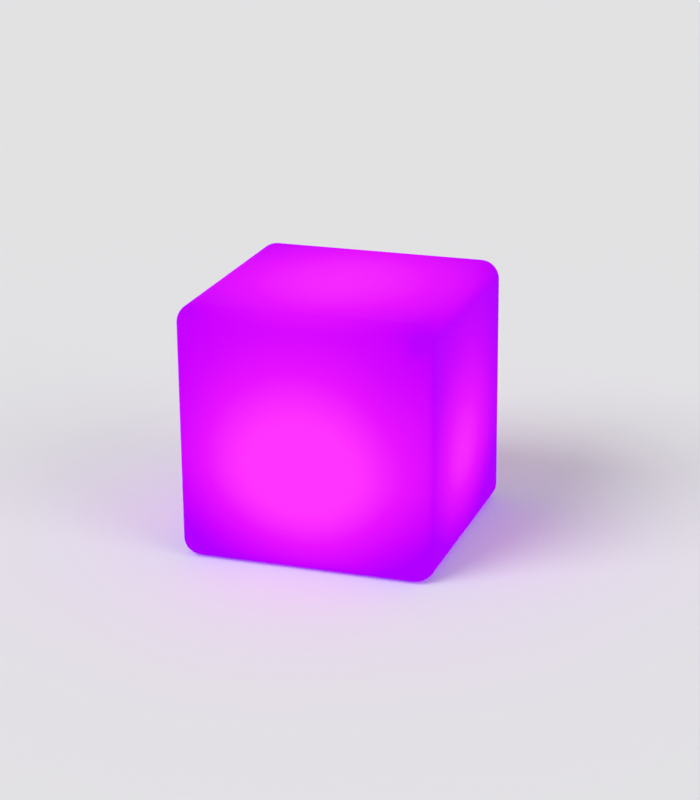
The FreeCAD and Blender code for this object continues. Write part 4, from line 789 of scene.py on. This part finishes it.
for plug_x, plug_y, half_length, mouths in connector_places:
    low_x, high_x = plug_x - half_length, plug_x + half_length
    low_y, high_y = plug_y - half_depth, plug_y + half_depth
    blocks = [
        ((low_x, low_y + mouth_reach, board_face / millimetre), (high_x, high_y, shroud_top), 0.3),
        ((low_x + 0.4, low_y + 0.6, plug_foot), (high_x - 0.4, high_y - 0.5, plug_top - mouth_reach), 0.3),
        ((low_x + 1, high_y - 0.6, rib_foot), (low_x + 1.7, high_y - 0.1, rib_top), rib_rounding),
        ((high_x - 1.7, high_y - 0.6, rib_foot), (high_x - 1, high_y - 0.1, rib_top), rib_rounding),
    ]
    for x, y, z in mouths:
        upright = y > low_y
        low = (x - 1, y - 1, z - 1) if upright else (x - 1, y, z - 1)
        high = (x + 1, y + 1, z) if upright else (x + 1, y + 1, z + 1)
        blocks.append((low, high, 0.2))
    for low, high, rounding in blocks:
        low, high = Vector(low) * millimetre, Vector(high) * millimetre
        rounded_bar(connector_mesh, low, high, rounding * millimetre, 2)
connector_nylon = grained("connector_nylon", (0.78, 0.75, 0.66), 0.38, 1200, 0.00003)
dress(lay_skin(connector_mesh, "connectors"), connector_nylon, "lamp", "wire_connectors")


# ---------------------------------------------------------------------------------------------------------
# The charge light: a two-colour LED in clear resin, soldered under the board, and a turned acrylic pipe
# that is pressed into the base plate and brings the light down to its face.
# ---------------------------------------------------------------------------------------------------------
clear_acrylic = Finish("clear_plastic")
clear_acrylic.feed({
    "Base Color": clear_acrylic.mix(clear_acrylic.noise(300, 2), (0.62, 0.66, 0.66), (0.72, 0.76, 0.76)),
    "Roughness": 0.10 + 0.08 * clear_acrylic.noise(700, 2),
})
clear_acrylic.bump(clear_acrylic.noise(900, 2), 0.00001)
clear_acrylic.on("charge_light_pipe", "charge_led")


# ---------------------------------------------------------------------------------------------------------
# The push switch: a black nylon barrel with a round bezel, sealed by a rubber ring and clamped by a nut.
# Its grey button is pushed out by a coil spring of stainless wire.
# ---------------------------------------------------------------------------------------------------------
fitting_nylon = grained("fitting_black", (0.022, 0.022, 0.023), 0.42, 2600, 0.00005, 0.2)
fitting_nylon.on("switch_body", "switch_nut", "charge_socket", "socket_nut")
grained("seal_black", (0.014, 0.014, 0.014), 0.62, 1800, 0.00005, 0.2).on("switch_seal", "socket_seal")
tinned.on("switch_terminals", "socket_terminals", "socket_pin")

button_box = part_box("power_button")
button_axis = (button_box[0] + button_box[1]) / 2
button_radius, collar_radius = 0.004, (button_box[1].x - button_box[0].x) / 2
button_face, stem_end = button_box[0].z, button_box[1].z
collar_bottom, collar_top, collar_chamfer = 0.0081, 0.0101, 0.0002
stem_radius, button_rounding = button_radius / 2, 0.0008
grip_rings = []
for ring_radius in (0.0016, 0.0022, 0.0028):
    for out, up in ((-0.00018, 0.00022), (-0.00009, 0.00012), (0.00009, 0.00012), (0.00018, 0.00022)):
        grip_rings.append((ring_radius + out, button_face + up - 0.00006 * (ring_radius / 0.0028) ** 2))
button_mesh = bmesh.new()
lathe(
    button_mesh,
    (button_axis.x, button_axis.y),
    [
        (0, button_face + 0.00034),
        (0.0011, button_face + 0.00030),
        *grip_rings,
        (0.0031, button_face),
        *arc((button_radius - button_rounding, button_face + button_rounding), button_rounding, -90, 0, 8),
        (button_radius, collar_bottom),
        (collar_radius - collar_chamfer, collar_bottom),
        (collar_radius, collar_bottom + collar_chamfer),
        (collar_radius, collar_top - collar_chamfer),
        (collar_radius - collar_chamfer, collar_top),
        (stem_radius, collar_top),
        (stem_radius, stem_end - collar_chamfer),
        (stem_radius - collar_chamfer, stem_end),
        (0, stem_end),
    ],
)
button_grey = grained("button_grey", (0.20, 0.205, 0.215), 0.40, 2600, 0.00004)
dress(lay_skin(button_mesh, "push_button"), button_grey, "button", "power_button")

spring_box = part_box("button_spring")
spring_half_wire = 0.0003
spring_centre = (spring_box[0] + spring_box[1]) / 2
spring_line = coil_points(
    spring_centre,
    (spring_box[1].x - spring_box[0].x) / 2 - spring_half_wire,
    bottom=spring_box[0].z + spring_half_wire,
    top=spring_box[1].z - spring_half_wire,
    turns=5,
    steps=16,
)
spring_steel = drawn_metal("spring_steel", (0.60, 0.60, 0.59), 0.25, (1, 1, 0.2))
coil_curve = bent_rod("coil_curve", [spring_line], spring_half_wire, [spring_steel])
bpy.context.view_layer.update()
coil_mesh = bpy.data.meshes.new_from_object(coil_curve.evaluated_get(bpy.context.evaluated_depsgraph_get()))
bpy.data.objects.remove(coil_curve)
return_spring = add_item("return_spring", coil_mesh)
dress(return_spring, spring_steel, "lamp", "button_spring")
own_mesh(return_spring)


# ---------------------------------------------------------------------------------------------------------
# The stopper of the charging socket: one moulding of soft black rubber, with a round head, a hollow nose
# over the pin, a ribbed pull tab, and a strap to an eye under a screw in the base plate.
# ---------------------------------------------------------------------------------------------------------
stopper_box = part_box("charge_stopper")
socket_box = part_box("charge_socket")
stopper_axis = ((stopper_box[0].x + stopper_box[1].x) / 2, (stopper_box[0].y + stopper_box[1].y) / 2)
head_radius = (stopper_box[1].x - stopper_box[0].x) / 2
head_top = socket_box[0].z - 0.00005
head_bottom = head_top - 0.002
head_rounding = 0.0008
nose_radius, nose_hollow, nose_waist = 0.00265, 0.00135, 0.00245
nose_end, nose_rounding = stopper_box[1].z, 0.0005
stopper_mesh = bmesh.new()
lathe(
    stopper_mesh,
    stopper_axis,
    [
        (0, head_bottom),
        (head_radius * 0.55, head_bottom + 0.00002),
        *arc((head_radius - head_rounding, head_bottom + head_rounding), head_rounding, -90, 0, 6),
        (head_radius - 0.0001, head_top - 0.0002),
        (head_radius - 0.0003, head_top),
        (nose_radius + 0.0004, head_top),
        (nose_radius, head_top + 0.0003),
        (nose_waist, head_top + 0.0012),
        (nose_radius, head_top + 0.0022),
        (nose_waist, nose_end - 0.0008),
        *arc((nose_waist - nose_rounding, nose_end - nose_rounding), nose_rounding, 0, 90, 5),
        (nose_hollow, nose_end - 0.0001),
        (nose_hollow, head_top),
        (0, head_top),
    ],
)
tab_end, tab_half_thick, tab_half_width = stopper_box[0].z, 0.001, 0.004
rounded_bar(
    stopper_mesh,
    (stopper_axis[0] - tab_half_thick, stopper_axis[1] - tab_half_width, tab_end),
    (stopper_axis[0] + tab_half_thick, stopper_axis[1] + tab_half_width, head_bottom + 0.0002),
    0.0004,
)
rib_pitch, rib_half_thick, rib_half_width = 0.0018, 0.00125, 0.0003
for rib in range(4):
    rib_y = stopper_axis[1] + (rib - 1.5) * rib_pitch
    rounded_bar(
        stopper_mesh,
        (stopper_axis[0] - rib_half_thick, rib_y - rib_half_width, tab_end + 0.0004),
        (stopper_axis[0] + rib_half_thick, rib_y + rib_half_width, head_bottom - 0.0001),
        0.0002,
    )
soft_rubber = grained("stopper_rubber", (0.030, 0.030, 0.031), 0.58, 1800, 0.00005, 0.2)
dress(lay_skin(stopper_mesh, "stopper"), soft_rubber, "stopper", "charge_stopper")

tether_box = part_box("stopper_tether")
tether_screw_x = 0.038
tether_thick, tether_width = 0.0012, tether_box[1].y - tether_box[0].y - 0.002


def strap_section(spot, direction):
    """Corners of a flat strap's rounded section, square to the way that it runs."""
    across, lift = Vector((0, 1, 0)), Vector((-direction.z, 0, direction.x))
    half_width, half_thick, soft = tether_width / 2, tether_thick / 2, 0.00025
    corners = []
    for turn_start, sign_across, sign_lift in ((0, 1, 1), (90, -1, 1), (180, -1, -1), (270, 1, -1)):
        for step in range(4):
            angle = math.radians(turn_start + 30 * step)
            corners.append(
                spot
                + across * (sign_across * (half_width - soft) + soft * math.cos(angle))
                + lift * (sign_lift * (half_thick - soft) + soft * math.sin(angle))
            )
    return corners


low_level = tether_box[0].z + tether_thick / 2
high_level = plate_face - tether_thick / 2
strap_start, slope_start = tether_box[0].x - 0.0006, tether_box[0].x + 0.0013
slope_end, strap_end = tether_screw_x - 0.0029, tether_screw_x - 0.0016
strap_steps = 26
strap_line = []
for index in range(strap_steps + 1):
    along_x = strap_start + (strap_end - strap_start) * index / strap_steps
    climb = min(max((along_x - slope_start) / (slope_end - slope_start), 0), 1)
    level = low_level + (high_level - low_level) * climb * climb * (3 - 2 * climb)
    strap_line.append(Vector((along_x, stopper_axis[1], level)))
tether_mesh = bmesh.new()
strap_rings = []
for index, spot in enumerate(strap_line):
    before, after = strap_line[max(index - 1, 0)], strap_line[min(index + 1, strap_steps)]
    corners = strap_section(spot, (after - before).normalized())
    strap_rings.append([tether_mesh.verts.new(corner) for corner in corners])
for lower, upper in zip(strap_rings, strap_rings[1:]):
    for step in range(len(lower)):
        following = (step + 1) % len(lower)
        tether_mesh.faces.new((lower[step], lower[following], upper[following], upper[step]))
tether_mesh.faces.new(strap_rings[0])
tether_mesh.faces.new(list(reversed(strap_rings[-1])))
eye_bottom, eye_rounding = plate_face - tether_thick, 0.0003
eye_hole, eye_radius = 0.00135, tether_box[1].x - tether_screw_x
lathe(
    tether_mesh,
    (tether_screw_x, stopper_axis[1]),
    [
        (eye_hole, eye_bottom),
        *arc((eye_radius - eye_rounding, eye_bottom + eye_rounding), eye_rounding, -90, 0, 4),
        *arc((eye_radius - eye_rounding, plate_face - eye_rounding), eye_rounding, 0, 90, 4),
        (eye_hole, plate_face),
    ],
)
tether = lay_skin(tether_mesh, "tether")
wear(tether, soft_rubber)
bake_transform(tether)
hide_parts("stopper_tether")


# ---------------------------------------------------------------------------------------------------------
# The wires inside: soft silicone-insulated leads from the cells, the switch and the socket to the nylon
# connectors, and five up to the light board. Each is soldered or crimped at both ends, with a little slack.
# ---------------------------------------------------------------------------------------------------------
wire_radius = 0.7 * millimetre


def insulation(name, colour):
    return grained(name, colour, 0.50, 1500, 0.00003, 0.15)


def lay_leads(name, node, routes, finishes):
    """Leads along their routes' points, which are in millimetres."""
    lines = [[Vector(point) * millimetre for point in route] for route in routes]
    leads = bent_rod(name, lines, wire_radius, finishes)
    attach(leads, "lamp")
    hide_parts(node)


red, black = insulation("wire_red", (0.36, 0.012, 0.012)), insulation("wire_black", (0.014, 0.014, 0.014))
blue, white = insulation("wire_blue", (0.018, 0.05, 0.27)), insulation("wire_white", (0.72, 0.72, 0.70))

battery_routes = []
for side in (-1, 1):
    battery_routes.append([
        (side * 32.7, 0, 38.86),
        (side * 36.9, 0, 38.86),
        (side * 39.7, 1.4, 33.96),
        (side * 38.65, 4.2, 26.96),
        (side * 30.6, 5.95, low_entry + 3.5),
        (side * 19.4, 4.55, low_entry),
        (side * 9.1, 4.2, low_entry + 0.21),
        (side * 2.5, 4.85, low_entry),
        (side * half_pitch, 8.35, low_entry),
        (side * half_pitch, connector_face, low_entry),
    ])
lay_leads("cell_wires", "battery_leads", battery_routes, [black, red])


def lug_route(lug_x, lug_level, drop, inward, plug_x, side):
    """From a lug of the switch or the socket, level under the battery and down to a connector's mouth."""
    mouth_x = plug_x + side * half_pitch
    return [
        (lug_x, -21.6, lug_level),
        (lug_x, -15, lug_level),
        (lug_x + 2.8 * inward, -7.3, lug_level - drop),
        (plug_x + (1.3 * side - 0.8 * inward) * half_pitch, -1, high_entry + 0.7),
        (mouth_x, 6.25, high_entry),
        (mouth_x, connector_face, high_entry),
    ]


switch_routes = [lug_route(-20 + side * 2.5, 25.5, 1.4, 1, switch_plug_x, side) for side in (-1, 1)]
lay_leads("switch_wires", "switch_leads", switch_routes, [blue])

socket_lugs = ((20, 24.5, -1), (23.8, 23.5, 1))
socket_routes = [lug_route(x, level, 0.49, -1, socket_plug_x, side) for x, level, side in socket_lugs]
lay_leads("socket_wires", "socket_leads", socket_routes, [red, black])

light_routes = []
for index in range(5):
    wire_x = (index - 2) * 2 * half_pitch
    light_routes.append([
        (wire_x, light_plug_y, plug_top),
        (wire_x, light_plug_y, 29.28),
        (wire_x * 1.05, 38.45, 36.38),
        (wire_x, light_plug_y, 44.9),
        (wire_x, light_plug_y, 52),
    ])
lay_leads("light_wires", "light_leads", light_routes, [red, white, blue, white, black])
